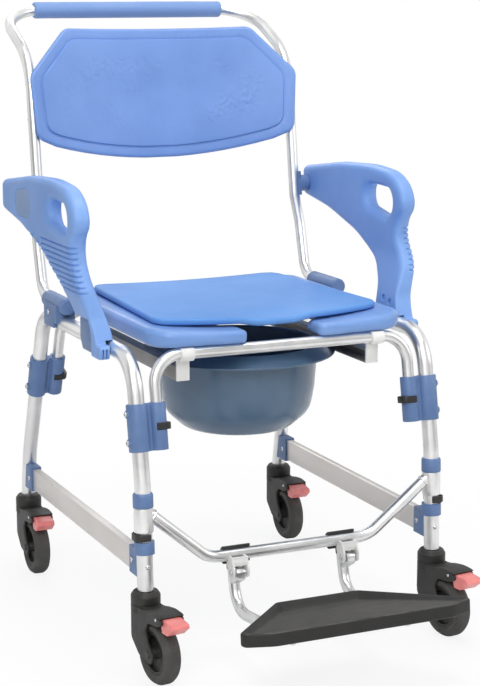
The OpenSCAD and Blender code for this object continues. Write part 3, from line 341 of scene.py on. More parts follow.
# Dark and light tone, roughness, grain scale, grain depth, and patch scale, coat and shine where they differ
PLASTICS = {
    "badge": ((112, 142, 186), (122, 152, 196), 0.36, 600, 0.0002),
    "blue_fitting": ((84, 112, 158), (98, 126, 170), 0.42, 700, 0.0003),
    "blue_seat": ((112, 149, 208), (124, 160, 218), 0.32, 900, 0.0002, 9, 0.1, 0.35),
    "blue_cover": ((92, 142, 208), (104, 154, 218), 0.42, 900, 0.0002, 6, 0, 0.14),
    "pan_plastic": ((70, 95, 120), (82, 107, 132), 0.24, 60, 0.0003, 9, 0.3, 0.4),
    "white_plastic": ((222, 222, 220), (236, 236, 234), 0.4, 800, 0.0002),
    "black_plastic": ((28, 27, 27), (40, 39, 38), 0.45, 800, 0.0003),
    "caster_plastic": ((40, 39, 38), (52, 51, 49), 0.5, 700, 0.0004, 30, 0, 0.35),
    "hub_plastic": ((40, 40, 39), (52, 52, 50), 0.5, 700, 0.0004, 30, 0, 0.35),
    "red_pedal": ((226, 122, 120), (236, 142, 138), 0.38, 700, 0.0002, 40),
    # The pan rails' dull dark grey stands for the shade under the seat: painted shade.
    "rail_enamel": ((118, 116, 113), (140, 138, 135), 0.38, 500, 0.0002),
}
LOOKS = {name: moulded_plastic(name, *values) for name, values in PLASTICS.items()}
LOOKS.update({
    "aluminium_tube": drawn_aluminium(),
    "side_bar_aluminium": flat_aluminium(),
    "steel": zinc_steel(),
    "blue_shell": pebbled_shell("blue_shell", (108, 147, 209), (120, 159, 219), False),
    "panel": pebbled_shell("blue_panel", (104, 139, 200), (115, 150, 211), True),
    "blue_grip": foam_sleeve(),
    "tread": tread_plastic(),
    "grey_tyre": rubber("grey_tyre", (64, 63, 61), (80, 79, 76), 0.7),
    "black_rubber": rubber("black_rubber", (38, 38, 40), (54, 54, 56), 0.65),
})


# Mesh helpers
@contextmanager
def editing(mesh):
    """The mesh opened for editing, and written back at the end."""
    bm = bmesh.new()
    bm.from_mesh(mesh)
    yield bm
    bm.to_mesh(mesh)
    bm.free()


def shade(bm, sharp):
    """Smooth faces, with the edges sharper than an angle in degrees kept hard."""
    limit = math.radians(sharp)
    for face in bm.faces:
        face.smooth = True
    for edge in bm.edges:
        edge.smooth = len(edge.link_faces) == 2 and edge.calc_face_angle(0) < limit


def clean(mesh, sharp):
    """Merges doubles, turns the faces outwards and shades smooth up to the sharp angle in degrees."""
    with editing(mesh) as bm:
        bmesh.ops.remove_doubles(bm, verts=bm.verts, dist=1e-5)
        bmesh.ops.dissolve_degenerate(bm, dist=1e-6, edges=bm.edges)
        bmesh.ops.recalc_face_normals(bm, faces=bm.faces)
        shade(bm, sharp)
    return mesh


def drawn_mesh(name, points, edges, faces):
    """A new mesh from points in metres."""
    mesh = bpy.data.meshes.new(name)
    mesh.from_pydata([tuple(p) for p in points], edges, [tuple(int(i) for i in f) for f in faces])
    return mesh


def mesh_of(name, points, faces, sharp=40):
    """A finished mesh from points in drawing millimetres."""
    return clean(drawn_mesh(name, metres(points), [], faces), sharp)


def placed(name, data):
    """A new object of the scene."""
    obj = bpy.data.objects.new(name, data)
    bpy.context.scene.collection.objects.link(obj)
    return obj


def show(name, mesh, look, body, nodes=()):
    """Puts a finished mesh in the scene: its material, its body and the nodes it stands for."""
    mesh.materials.clear()
    mesh.materials.append(LOOKS[look])
    obj = placed(name, mesh)
    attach(obj, body)
    if nodes:
        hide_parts(*nodes)
    return obj


def stand_for(node, mesh, look=None):
    """Shows a mesh in place of one CAD node."""
    return show(node + "_piece", mesh, look or SLOT[node], BODY[node], (node,))


def evaluated(obj):
    """The object's mesh with its modifiers worked in."""
    graph = bpy.context.evaluated_depsgraph_get()
    return bpy.data.meshes.new_from_object(obj.evaluated_get(graph), preserve_all_data_layers=True,
                                           depsgraph=graph)


def softened(node, width, segments=3, sharp=30):
    """A copy of a CAD node whose sharp edges are rounded off, width in millimetres."""
    mesh = NODES[node].data.copy()
    with editing(mesh) as bm:
        bmesh.ops.remove_doubles(bm, verts=bm.verts, dist=2e-6)
        bmesh.ops.dissolve_limit(bm, angle_limit=math.radians(1.5), verts=bm.verts, edges=bm.edges)
    obj = placed("softened", mesh)
    bevel = obj.modifiers.new("bevel", "BEVEL")
    bevel.limit_method = "ANGLE"
    bevel.angle_limit = math.radians(sharp)
    bevel.width = width / MM
    bevel.segments = segments
    made = evaluated(obj)
    bpy.data.objects.remove(obj)
    with editing(made) as bm:
        shade(bm, sharp)
    return made


# Outlines
def rounded(corners, radii, step=7):
    """A closed outline whose corners are arcs, each with its own radius."""
    out = []
    for i, (corner, radius) in enumerate(zip(corners, radii)):
        here = Vector(corner)
        a = (here - Vector(corners[i - 1])).normalized()
        b = (Vector(corners[(i + 1) % len(corners)]) - here).normalized()
        turn = math.atan2(a.x * b.y - a.y * b.x, a.dot(b))
        if radius <= 0 or abs(turn) < 1e-4:
            out.append(tuple(here))
            continue
        start = here - a * radius * math.tan(abs(turn) / 2)
        centre = start + math.copysign(radius, turn) * Vector((-a.y, a.x))
        steps = max(1, math.ceil(math.degrees(abs(turn)) / step))
        for k in range(steps + 1):
            w = turn * k / steps
            v = start - centre
            out.append(tuple(centre + Vector((v.x * math.cos(w) - v.y * math.sin(w),
                                              v.x * math.sin(w) + v.y * math.cos(w)))))
    return np.array(out)


def barrel(bore, radius, low, high, low_edge=0, high_edge=0, mouth=0, step=20):
    """The section of a round piece between two heights, bore 0 where it is solid; the rest are roundings."""
    corners = [(bore, low), (radius, low), (radius, high), (bore, high)]
    return rounded(corners, [0, low_edge, high_edge, mouth], step)


def mirrored(points):
    """Points of a right-hand half and then their images across X = 0."""
    return list(points) + [(-x, y) for x, y in reversed(points)]


def doubled(points):
    """Points of an upper half and then their images across the first axis."""
    return list(points) + [(x, -y) for x, y in reversed(points)]


def again(radii):
    """The radii of a half and then those of its image."""
    return list(radii) + list(reversed(radii))


def ring(loop):
    """The loop with its first point once more at its end."""
    return np.vstack([loop, loop[:1]])


def wound(loop, inside):
    """The loop with its material on the left: anticlockwise for an outline, clockwise for a hole."""
    x, y = loop[:, 0], loop[:, 1]
    area = np.dot(x, np.roll(y, -1)) - np.dot(y, np.roll(x, -1))
    return loop if (area > 0) == inside else loop[::-1]


def inset(loop, distance):
    """The loop moved into its material, each point by its own distance."""
    a = loop - np.roll(loop, 1, 0)
    b = np.roll(loop, -1, 0) - loop
    a /= np.linalg.norm(a, axis=1)[:, None]
    b /= np.linalg.norm(b, axis=1)[:, None]
    left_a = np.stack([-a[:, 1], a[:, 0]], 1)
    left_b = np.stack([-b[:, 1], b[:, 0]], 1)
    miter = (left_a + left_b) / (1 + np.sum(left_a * left_b, 1))[:, None]
    return loop + miter * np.broadcast_to(distance, len(loop))[:, None]


def edge_distance(points, loops):
    """Each point's distance from the nearest stretch of the loops."""
    best = np.full(len(points), 1e9)
    for loop in loops:
        for a, b in zip(loop, np.roll(loop, -1, 0)):
            span = b - a
            t = np.clip((points - a) @ span / max(span @ span, 1e-12), 0, 1)
            best = np.minimum(best, np.linalg.norm(points - a - t[:, None] * span, axis=1))
    return best


def within(points, loops):
    """Whether each point lies in the material: inside an odd number of loops."""
    odd = np.zeros(len(points), bool)
    x, y = points[:, 0], points[:, 1]
    for loop in loops:
        for (ax, ay), (bx, by) in zip(loop, np.roll(loop, -1, 0)):
            if ay == by:
                continue
            odd ^= ((ay > y) != (by > y)) & (x < (bx - ax) * (y - ay) / (by - ay) + ax)
    return odd


class Slab:
    """A moulded slab: an outline with holes, two shaped sides and rounded edges.

    face(p, d) and back(p, d) give the heights of the sides at points p that lie d inside the edge.
    radius(p) is the edge's rounding. lines are extra mesh lines, as lists of points.
    """

    def __init__(self, loops, radius, grid, lines=(), steps=5, rows=1):
        loops = [wound(np.asarray(loop, float), i == 0) for i, loop in enumerate(loops)]
        self.radius = radius if callable(radius) else lambda p: np.full(len(p), float(radius))
        points, links = [], []

        def chain(run, closed):
            base = len(points)
            points.extend(map(tuple, run))
            count = len(run)
            links.extend((base + i, base + (i + 1) % count) for i in range(count if closed else count - 1))

        for loop in loops:
            chain(loop, True)
            for k in range(1, steps + 1):
                chain(inset(loop, self.radius(loop) * (1 - math.cos(math.pi / 2 * k / steps))), True)
        for line in lines:
            chain(np.asarray(line, float), False)
        low, high = loops[0].min(0), loops[0].max(0)
        mesh_x, mesh_y = np.meshgrid(np.arange(low[0], high[0], grid), np.arange(low[1], high[1], grid))
        fill = np.stack([mesh_x.ravel(), mesh_y.ravel()], 1)
        fill = fill[within(fill, loops)]
        fill = fill[edge_distance(fill, loops) > self.radius(fill) + grid * 0.3]
        points.extend(map(tuple, fill))
        flat, _, triangles, *_ = delaunay_2d_cdt([Vector(p) for p in points], links, [], 0, 1e-4)
        self.flat = np.array([tuple(p) for p in flat])
        triangles = np.array(triangles)
        self.triangles = triangles[within(self.flat[triangles].mean(1), loops)]
        self.depth = edge_distance(self.flat, loops)
        self.rows = rows

    def build(self, name, face, back, place, sharp=40):
        p, d = self.flat, self.depth
        r = self.radius(p)
        near = np.minimum(d, r)
        drop = r - np.sqrt(np.maximum(r * r - (r - near) ** 2, 0))
        top, bottom = face(p, d) - drop, back(p, d) + drop
        count = len(p)
        levels = [top + (bottom - top) * k / self.rows for k in range(self.rows + 1)]
        points = np.concatenate([np.column_stack([p, level]) for level in levels])
        last = self.rows * count
        faces = [tuple(t) for t in self.triangles]
        faces += [tuple(last + i for i in t[::-1]) for t in self.triangles]
        sides = {}
        for a, b, c in self.triangles:
            for edge in ((a, b), (b, c), (c, a)):
                if (edge[1], edge[0]) in sides:
                    del sides[edge[1], edge[0]]
                else:
                    sides[edge] = True
        for a, b in sides:
            for k in range(self.rows):
                upper, lower = k * count, (k + 1) * count
                faces.append((upper + b, upper + a, lower + a, lower + b))
        used = np.unique(np.array([i for f in faces for i in f]))
        slim = np.full(len(points), -1)
        slim[used] = np.arange(len(used))
        mesh = drawn_mesh(name, metres(place(points[used])), [], [[slim[i] for i in f] for f in faces])
        edge = mesh.attributes.new("edge", "FLOAT", "POINT")
        edge.data.foreach_set("value", (np.tile(d, self.rows + 1)[used] / MM).astype(np.float32))
        return clean(mesh, sharp)


def flat(height):
    """A level side of a slab."""
    return lambda p, d: np.full(len(p), float(height))


def turned(profile, sides):
    """A closed outline of (radius, height) points turned about Z."""
    profile = np.asarray(profile, float)
    angles = np.linspace(0, 2 * math.pi, sides, endpoint=False)
    points = np.array([(r * math.cos(a), r * math.sin(a), h) for a in angles for r, h in profile])
    count = len(profile)
    faces = []
    for i in range(sides):
        for k in range(count):
            here, there = i * count, (i + 1) % sides * count
            faces.append((here + k, there + k, there + (k + 1) % count, here + (k + 1) % count))
    return points, faces


def posed(points, matrix):
    """Points in millimetres through a 4x4 matrix."""
    m = np.array(matrix)
    return points @ m[:3, :3].T + m[:3, 3]


def turned_mesh(name, profile, matrix, sides=64):
    """A turned piece, its Z and its place given by a matrix."""
    points, faces = turned(profile, sides)
    return mesh_of(name, posed(points, matrix), faces)


def facing(spot, way):
    """Axes at a spot, with Z along a way."""
    return Matrix.Translation(spot) @ Vector(way).to_track_quat("Z", "Y").to_matrix().to_4x4()


CROSSWISE = Matrix.Rotation(math.pi / 2, 4, "Y")


def merged(name, meshes, sharp=40):
    """Several meshes as one."""
    bm = bmesh.new()
    for mesh in meshes:
        bm.from_mesh(mesh)
    made = bpy.data.meshes.new(name)
    bm.to_mesh(made)
    bm.free()
    return clean(made, sharp)


# Geometry node trees
def new_tree(name, inputs):
    tree = bpy.data.node_groups.new(name, "GeometryNodeTree")
    tree.interface.new_socket("Geometry", in_out="INPUT", socket_type="NodeSocketGeometry")
    for label, kind in inputs:
        tree.interface.new_socket(label, in_out="INPUT", socket_type="NodeSocket" + kind)
    tree.interface.new_socket("Geometry", in_out="OUTPUT", socket_type="NodeSocketGeometry")
    graph = Graph(tree)
    return graph, graph.node("NodeGroupInput")


def close_tree(graph, entry, geometry):
    """Realizes what the tree made, gives it the material and ends the tree."""
    real = graph.node("GeometryNodeRealizeInstances", None, {0: geometry})
    dressed = graph.node("GeometryNodeSetMaterial", None, {0: real, "Material": entry.out("Material")})
    graph.node("NodeGroupOutput", None, {0: dressed})
    return graph.tree


def grown(tree, mesh, **inputs):
    """The plain mesh that a tree makes from a mesh, its inputs set by their sockets' identifiers."""
    obj = placed("grown", mesh)
    modifier = obj.modifiers.new("tree", "NODES")
    modifier.node_group = tree
    for item in tree.interface.items_tree:
        if item.in_out == "INPUT" and item.name in inputs:
            modifier[item.identifier] = inputs[item.name]
    made = evaluated(obj)
    bpy.data.objects.remove(obj)
    return made


def bent_tube_tree():
    """Sweeps a round section along a path, and keeps the run along it and the way round it."""
    graph, entry = new_tree("bent_tube", [("Radius", "Float"), ("Sides", "Int"), ("Material", "Material")])
    path = graph.node("GeometryNodeMeshToCurve", None, {0: entry.out("Geometry")})
    length = graph.node("GeometryNodeSplineParameter", out="Length")
    ran = graph.node("GeometryNodeCaptureAttribute", {"captures": [("run", "FLOAT")]}, {0: path, 1: length})
    ring = graph.node("GeometryNodeCurvePrimitiveCircle", None,
                      {"Resolution": entry.out("Sides"), "Radius": entry.out("Radius")})
    spot = graph.node("GeometryNodeInputPosition")
    way = graph.node("ShaderNodeVectorMath", {"operation": "NORMALIZE"}, {0: spot})
    rung = graph.node("GeometryNodeCaptureAttribute", {"captures": [("around", "VECTOR")]}, {0: ring, 1: way})
    tube = graph.node("GeometryNodeCurveToMesh", None, {0: ran, 1: rung, "Fill Caps": True})
    kept = graph.node("GeometryNodeStoreNamedAttribute", {"data_type": "FLOAT", "domain": "POINT"},
                      {0: tube, "Name": "run", "Value": ran.out(1)})
    kept = graph.node("GeometryNodeStoreNamedAttribute", {"data_type": "FLOAT_VECTOR", "domain": "POINT"},
                      {0: kept, "Name": "around", "Value": rung.out(1)})
    smooth = graph.node("GeometryNodeSetShadeSmooth", None, {0: kept})
    return close_tree(graph, entry, smooth)


def seated_tree():
    """Sets a copy of one small shape on every point, its Z along the point's axis attribute."""
    graph, entry = new_tree("seated", [("Shape", "Object"), ("Material", "Material")])
    shape = graph.node("GeometryNodeObjectInfo", None, {0: entry.out("Shape")}, out="Geometry")
    axis = graph.node("GeometryNodeInputNamedAttribute", {"data_type": "FLOAT_VECTOR"}, {"Name": "axis"})
    turn = graph.node("FunctionNodeAlignRotationToVector", {"axis": "Z"}, {"Vector": axis})
    points = graph.node("GeometryNodeMeshToPoints", None, {0: entry.out("Geometry")})
    copies = graph.node("GeometryNodeInstanceOnPoints", None,
                        {"Points": points, "Instance": shape, "Rotation": turn})
    return close_tree(graph, entry, copies)


TUBE_TREE = bent_tube_tree()
SEATED_TREE = seated_tree()


def bent(corners, radii, step=4):
    """Points along straight runs and round bends between corners in space."""
    corners = [Vector(c) for c in corners]
    out = [corners[0]]
    for i in range(1, len(corners) - 1):
        a = (corners[i] - corners[i - 1]).normalized()
        b = (corners[i + 1] - corners[i]).normalized()
        turn = a.angle(b)
        if radii[i] <= 0 or turn < 1e-3:
            out.append(corners[i])
            continue
        start = corners[i] - a * radii[i] * math.tan(turn / 2)
        centre = start + (b - a * a.dot(b)).normalized() * radii[i]
        axis = a.cross(b).normalized()
        steps = max(2, math.ceil(math.degrees(turn) / step))
        for k in range(steps + 1):
            out.append(centre + Matrix.Rotation(turn * k / steps, 3, axis) @ (start - centre))
    out.append(corners[-1])
    return np.array([tuple(p) for p in out])


def tube_mesh(name, corners, radii, radius, sides=40):
    """A round tube along a bent path."""
    path = metres(bent(corners, radii))
    line = drawn_mesh(name, path, [(i, i + 1) for i in range(len(path) - 1)], [])
    return grown(TUBE_TREE, line, Radius=radius / MM, Sides=sides, Material=LOOKS["aluminium_tube"])


def seated(name, spots, axes, shape, look):
    """Copies of a small mesh on points, as one plain mesh."""
    base = placed(name + "_shape", shape)
    cloud = drawn_mesh(name, spots, [], [])
    axis = cloud.attributes.new("axis", "FLOAT_VECTOR", "POINT")
    axis.data.foreach_set("vector", np.asarray(axes, np.float32).ravel())
    made = grown(SEATED_TREE, cloud, Shape=base, Material=LOOKS[look])
    bpy.data.objects.remove(base)
    return made


# Tube frame
def side_frame(side, s):
    """One tube: front leg, rail and rear leg."""
    run = (FRONT_FOOT, FRONT_KNEE, FRONT_TOP, REAR_TOP, REAR_KNEE, REAR_FOOT)
    path = [(s * HALF_W, y, z) for y, z in run]
    node = "side_frame_" + side
    stand_for(node, tube_mesh(node, path, again([0, KNEE_BEND, RAIL_BEND]), FRAME_R))


for side, s in SIDES:
    side_frame(side, s)

CLAMP_PITCH = 33
CLAMP_L = 74
CROSSBAR_BEND = 45
CROSSBAR_SHORT = 3


def crossbar(node, knee, top, clamp_z):
    """A bar at rail height, its ends turned down into the clamps."""
    low = clamp_z - CLAMP_L / 2 * math.cos(lean_of(knee, top)) + CROSSBAR_SHORT
    x = HALF_W - CLAMP_PITCH
    ends = along(knee, top, low)
    path = [(x, ends, low), (x, *top), (-x, *top), (-x, ends, low)]
    stand_for(node, tube_mesh(node, path, again([0, CROSSBAR_BEND]), BAR_R))


for end, run in CLAMPS.items():
    crossbar(end + "_crossbar", *run)

SOCKET_Z = RAIL_Z + 30
SOCKET_FRONT = 345
SOCKET_WALL = 8
BACK_HEEL = (478, SOCKET_Z)
BACK_RISE = (505, 625)
BACK_HALF = 249
BACK_LOW = (513, 675)
BACK_HIGH = (549, 932)
HANDLE = (717, 1014)
BACK_BENDS = [0, 40, 60, 60, 110, 78]


def back_frame():
    """One tube: back from each socket, up behind the panel and over to the push handle."""
    half = [(HALF_W, y, z) for y, z in ((SOCKET_FRONT + SOCKET_WALL, SOCKET_Z), BACK_HEEL, BACK_RISE)]
    half += [(BACK_HALF, y, z) for y, z in (BACK_LOW, BACK_HIGH, HANDLE)]
    path = half + [(-x, y, z) for x, y, z in reversed(half)]
    stand_for("back_frame", tube_mesh("back_frame", path, again(BACK_BENDS), BAR_R))


back_frame()


# Moulded shells
def smooth(x, low, high):
    """0 below low, 1 above high, eased between."""
    k = np.clip((x - low) / (high - low), 0, 1)
    return k * k * (3 - 2 * k)


def finer(loop, step):
    """The loop without doubles, its long stretches split so that none is over step."""
    out = []
    for a, b in zip(loop, np.roll(loop, -1, 0)):
        length = np.linalg.norm(b - a)
        if length < 1e-6:
            continue
        count = max(1, math.ceil(length / step))
        out.extend(a + (b - a) * k / count for k in range(count))
    return np.array(out)


def pair_loop(a, b, grow=0.0, step=9):
    """The outline round two circles, each (u, v, radius)."""
    way = math.atan2(b[1] - a[1], b[0] - a[0])
    lean = math.acos((a[2] - b[2]) / math.hypot(b[0] - a[0], b[1] - a[1]))
    out = []
    for (u, v, r), first, last in ((a, way + lean, way - lean + 2 * math.pi), (b, way - lean, way + lean)):
        count = max(4, math.ceil(math.degrees(last - first) / step))
        for k in range(count + 1):
            w = first + (last - first) * k / count
            out.append((u + (r + grow) * math.cos(w), v + (r + grow) * math.sin(w)))
    return np.array(out)


def pair_distance(p, a, b):
    """Distance from the outline round two circles, negative inside."""
    span = np.array(b[:2], float) - a[:2]
    length = np.linalg.norm(span)
    span /= length
    q = p - np.array(a[:2], float)
    x = q @ span
    y = np.abs(q @ np.array([-span[1], span[0]]))
    slope = (a[2] - b[2]) / length
    rise = math.sqrt(1 - slope * slope)
    k = rise * x - slope * y
    flank = rise * y + slope * x - a[2]
    return np.where(k < 0, np.hypot(x, y) - a[2],
                    np.where(k > rise * length, np.hypot(x - length, y) - b[2], flank))


def box_mesh(a, b, place=None):
    """A box between two opposite corners, moved by place."""
    low, high = np.minimum(a, b), np.maximum(a, b)
    xs, ys, zs = zip(low, high)
    corners = np.array([(x, y, z) for x in xs for y in ys for z in zs], float)
    faces = [(0, 1, 3, 2), (4, 6, 7, 5), (0, 4, 5, 1), (2, 3, 7, 6), (0, 2, 6, 4), (1, 5, 7, 3)]
    return mesh_of("box", place(corners) if place else corners, faces)


def cut(mesh, *cutters):
    """The mesh less other meshes."""
    obj = placed("cut", mesh)
    tools = [placed("cutter", cutter) for cutter in cutters]
    for tool in tools:
        modifier = obj.modifiers.new("cut", "BOOLEAN")
        modifier.operation = "DIFFERENCE"
        modifier.solver = "EXACT"
        modifier.object = tool
    bpy.context.view_layer.update()
    made = evaluated(obj)
    for item in [obj] + tools:
        bpy.data.objects.remove(item)
    return clean(made, 35)


# The armrest's side is drawn as (y, rise above the rail)
ARM_T = 31
ARM_FOOT_X = HALF_W + 15
ARM_SWING = (14, 116)
ARM_SIDE = [(542, 230), (400, 249), (280, 255), (205, 249), (168, 226), (156, 190), (193, 155), (151, 92),
            (144, 46), (127, 7.7), (108, 7.7), (110, -FRAME_R - 2), (215, -FRAME_R - 2), (204, 41),
            (252, 92), (330, 131), (440, 162), (542, 178)]
ARM_RADII = [12, 300, 400, 90, 55, 28, 38, 45, 45, 4, 6, 9, 2, 60, 90, 250, 300, 14]
HAND_HOLE = ((224, 196, 24), (276, 202, 20))
HOLE_FLARE = 14
MEDALLION = ((405, 202, 26), (444, 199, 23))
MEDALLION_IN = 1.5
MEDALLION_EDGE = 0.8
BADGE_IN = 1.2
BADGE_LOW = -0.6
BADGE_HIGH = 0.7
BADGE_DOME = 0.5
FOOT_CUT = (240, 440)
SKIRT_GAP = 0.5
LATCH_POCKET = (147.6, 542.1)
LATCH_OVERLAP = 1.2
TOE_SLOTS = (4, 10)
TOE_SLOT_W = 2.2
TOE_SLOT_Y = (90, 114)
TOE_SLOT_RISE = 3
FOOT_RECESSES = ((184, 36), (161, 32))
FOOT_RECESS_R = 6
FOOT_RECESS_IN = 5
GROOVES = 9
GROOVE_LOW = 86
GROOVE_PITCH = 8.5
GROOVE_W = 4.2
GROOVE_IN = 3.0


def arm_mid(rise):
    """X of the middle of the armrest's thickness, which swings out above the foot."""
    return ARM_FOOT_X + (ARM_X - ARM_FOOT_X) * smooth(rise, *ARM_SWING)


def arm_outline():
    """The side outline, with points close enough at the grip for its grooves."""
    coarse = finer(rounded(ARM_SIDE, ARM_RADII, 3), 8)
    out = []
    for a, b in zip(coarse, np.roll(coarse, -1, 0)):
        gripped = GROOVE_LOW - 4 < (a[1] + b[1]) / 2 < GROOVE_LOW + GROOVE_PITCH * GROOVES
        count = math.ceil(np.linalg.norm(b - a) / 1.1) if gripped else 1
        out.extend(a + (b - a) * k / count for k in range(count))
    return np.array(out)


def arm_edge(p):
    """Rounding of the armrest's edges: small at the foot, wide at the hand hole."""
    hole = pair_distance(p, *HAND_HOLE)
    return np.where(hole < HOLE_FLARE + 1, HOLE_FLARE, 3.5 + 8 * smooth(p[:, 1], 20, 95))


def armrest_slab():
    """The armrest laid flat, with mesh lines at the oval bed and at every groove."""
    lines = [ring(pair_loop(*MEDALLION, grow)) for grow in (-MEDALLION_EDGE, MEDALLION_EDGE)]
    outline = arm_outline()
    for k in range(GROOVES):
        for part in (-0.5, -0.25, 0, 0.25, 0.5):
            rise = GROOVE_LOW + GROOVE_PITCH * k + part * GROOVE_W
            row = np.array([(y, rise) for y in np.arange(120, 330, 6)])
            row = row[within(row, [outline])]
            lines.append(row[edge_distance(row, [outline]) > arm_edge(row) + 1])
    return Slab([outline, pair_loop(*HAND_HOLE)], arm_edge, 9, lines, steps=7, rows=6)


def carve_grip(mesh, s):
    """Presses the grip grooves into the outer face and over both edges of the post."""
    count = len(mesh.vertices)
    spots, ways = np.empty(count * 3), np.empty(count * 3)
    mesh.vertices.foreach_get("co", spots)
    mesh.vertices.foreach_get("normal", ways)
    spots, ways = spots.reshape(-1, 3), ways.reshape(-1, 3)
    rise = spots[:, 2] * MM - RAIL_Z
    out = s * spots[:, 0] * MM - arm_mid(rise)
    near = np.abs((rise - GROOVE_LOW + GROOVE_PITCH / 2) % GROOVE_PITCH - GROOVE_PITCH / 2)
    inside = (rise > GROOVE_LOW - GROOVE_W) & (rise < GROOVE_LOW + GROOVE_PITCH * (GROOVES - 1) + GROOVE_W)
    depth = GROOVE_IN * (1 - smooth(near, 0, GROOVE_W / 2)) * smooth(out, -3, 6) * inside
    mesh.vertices.foreach_set("co", (spots - ways * depth[:, None] / MM).ravel())
    mesh.update()


def foot_cuts(s):
    """What an armrest's foot leaves free: the rail, the latch, the slots in its toe and two recesses."""
    behind, below = FOOT_CUT
    skirt = HALF_W + FRAME_R + SKIRT_GAP
    rail = box_mesh((s * (HALF_W - 60), 60, below), (s * skirt, behind, RAIL_Z + FRAME_R + SKIRT_GAP))
    front, top = LATCH_POCKET
    latch = box_mesh((s * (skirt - LATCH_OVERLAP), front, below), (s * (ARM_X + ARM_T), behind, top))
    low, high = TOE_SLOT_Y
    roof = RAIL_Z + TOE_SLOT_RISE
    slots = [box_mesh((s * (skirt + x), low, below), (s * (skirt + x + TOE_SLOT_W), high, roof))
             for x in TOE_SLOTS]
    peg = barrel(0, FOOT_RECESS_R, -FOOT_RECESS_IN, FOOT_RECESS_IN)
    recesses = []
    for y, rise in FOOT_RECESSES:
        spot = Matrix.Translation((s * (arm_mid(rise) - ARM_T / 2), y, RAIL_Z + rise))
        recesses.append(turned_mesh("recess", peg, spot @ CROSSWISE, 24))
    return [rail, latch, *slots, *recesses]


def armrest(slab, side, s):
    """One armrest, and the plain oval plate in its bed."""
    half = ARM_T / 2
    bed = half - MEDALLION_IN

    def face(p, d):
        inside = 1 - smooth(pair_distance(p, *MEDALLION), -MEDALLION_EDGE, MEDALLION_EDGE)
        return half - MEDALLION_IN * inside

    def dome(p, d):
        return bed + BADGE_HIGH + BADGE_DOME * smooth(d, 0, 24)

    def place(q):
        return np.column_stack([s * (arm_mid(q[:, 1]) + q[:, 2]), q[:, 0], RAIL_Z + q[:, 1]])

    node = "armrest_" + side
    mesh = slab.build(node, face, flat(-half), place)
    carve_grip(mesh, s)
    stand_for(node, cut(mesh, *foot_cuts(s)))
    plate = Slab([pair_loop(*MEDALLION, -BADGE_IN)], 0.6, 14, steps=3)
    badge = plate.build("badge_" + side, dome, flat(bed + BADGE_LOW), place)
    show("armrest_badge_" + side, badge, "badge", BODY[node])


arm_slab = armrest_slab()
for side, s in SIDES:
    armrest(arm_slab, side, s)

# The panel is drawn flat as (x, rise) above the back tube's lower bend, then rolled and leaned
PANEL_FOOT = 82
PANEL_ARC = 900
PANEL = [(x, PANEL_FOOT + x * x / (2 * PANEL_ARC)) for x in range(30, 240, 30)]
PANEL_CORNERS = [(248, 121), (256, 230), (179, 314)]
PANEL_RADII = [22, 26, 24]
RIM_RADII = [44, 58, 48]
PANEL_R = 650
PANEL_T = 12
PANEL_RIM = 20
PANEL_STEP = 2.5
PANEL_GROOVE = 1.1
PANEL_HOLLOW = 3.5
PANEL_AXIS = -math.sqrt((PANEL_R + PANEL_T + BAR_R + FIT) ** 2 - BACK_HALF ** 2)
BACK_LEAN = lean_of(BACK_LOW, BACK_HIGH)


def leaned(q, lean, origin):
    """Local points tipped back about X and set on their origin."""
    c, s = math.cos(lean), math.sin(lean)
    return np.column_stack([q[:, 0], q[:, 1] * c + q[:, 2] * s, q[:, 2] * c - q[:, 1] * s]) + origin


def panel_loop(radii):
    """The panel's outline with its corners rounded by radii."""
    half = PANEL + PANEL_CORNERS
    return wound(finer(rounded(mirrored(half), again([0] * len(PANEL) + radii)), 12), True)


def back_panel():
    """A curved shell: a rim, a groove inside it and a raised, slightly hollow middle."""
    around = panel_loop(RIM_RADII)
    rim = inset(around, PANEL_RIM)
    lines = [ring(inset(around, PANEL_RIM + d)) for d in (-4.2, -2.4, -0.9, -0.3, 0.3, 0.9, 2.4)]
    slab = Slab([panel_loop(PANEL_RADII)], 5.5, 12, lines, steps=6, rows=2)

    def face(p, d):
        past = edge_distance(p, [rim]) * np.where(within(p, [rim]), 1, -1)
        groove = PANEL_GROOVE * (1 - smooth(np.abs(past + 1.2), 0, 3))
        step = PANEL_STEP * (smooth(past, -0.9, 0.9) - 1)
        return step - groove - PANEL_HOLLOW * smooth(d, 24, 120)

    def place(q):
        turn = np.arcsin(q[:, 0] / (PANEL_R + PANEL_T / 2))
        reach = PANEL_R - q[:, 2]
        local = np.column_stack([reach * np.sin(turn), PANEL_AXIS + reach * np.cos(turn), q[:, 1]])
        return leaned(local, BACK_LEAN, (0, *BACK_LOW))

    stand_for("backrest_panel", slab.build("backrest_panel", face, flat(-PANEL_T), place), "panel")


back_panel()

SEAT_Z = RAIL_Z + BAR_R + FIT
SEAT_HALF = HALF_W - FRAME_R - 20.3
SEAT_Y = (34, 484)
SEAT_T = 31
SEAT_SLOT = 63
SEAT_CORNERS = [13, 48, 46]
SEAT_EDGE = (6.5, 11)
HOLE_R = 107
HOLE_Y = (170, 330)
NECK_RUN = 12
DISH_R = 2000


def sag(r, x):
    """How far a circle of radius r has risen x away from its lowest point."""
    return r - np.sqrt(r * r - x * x)


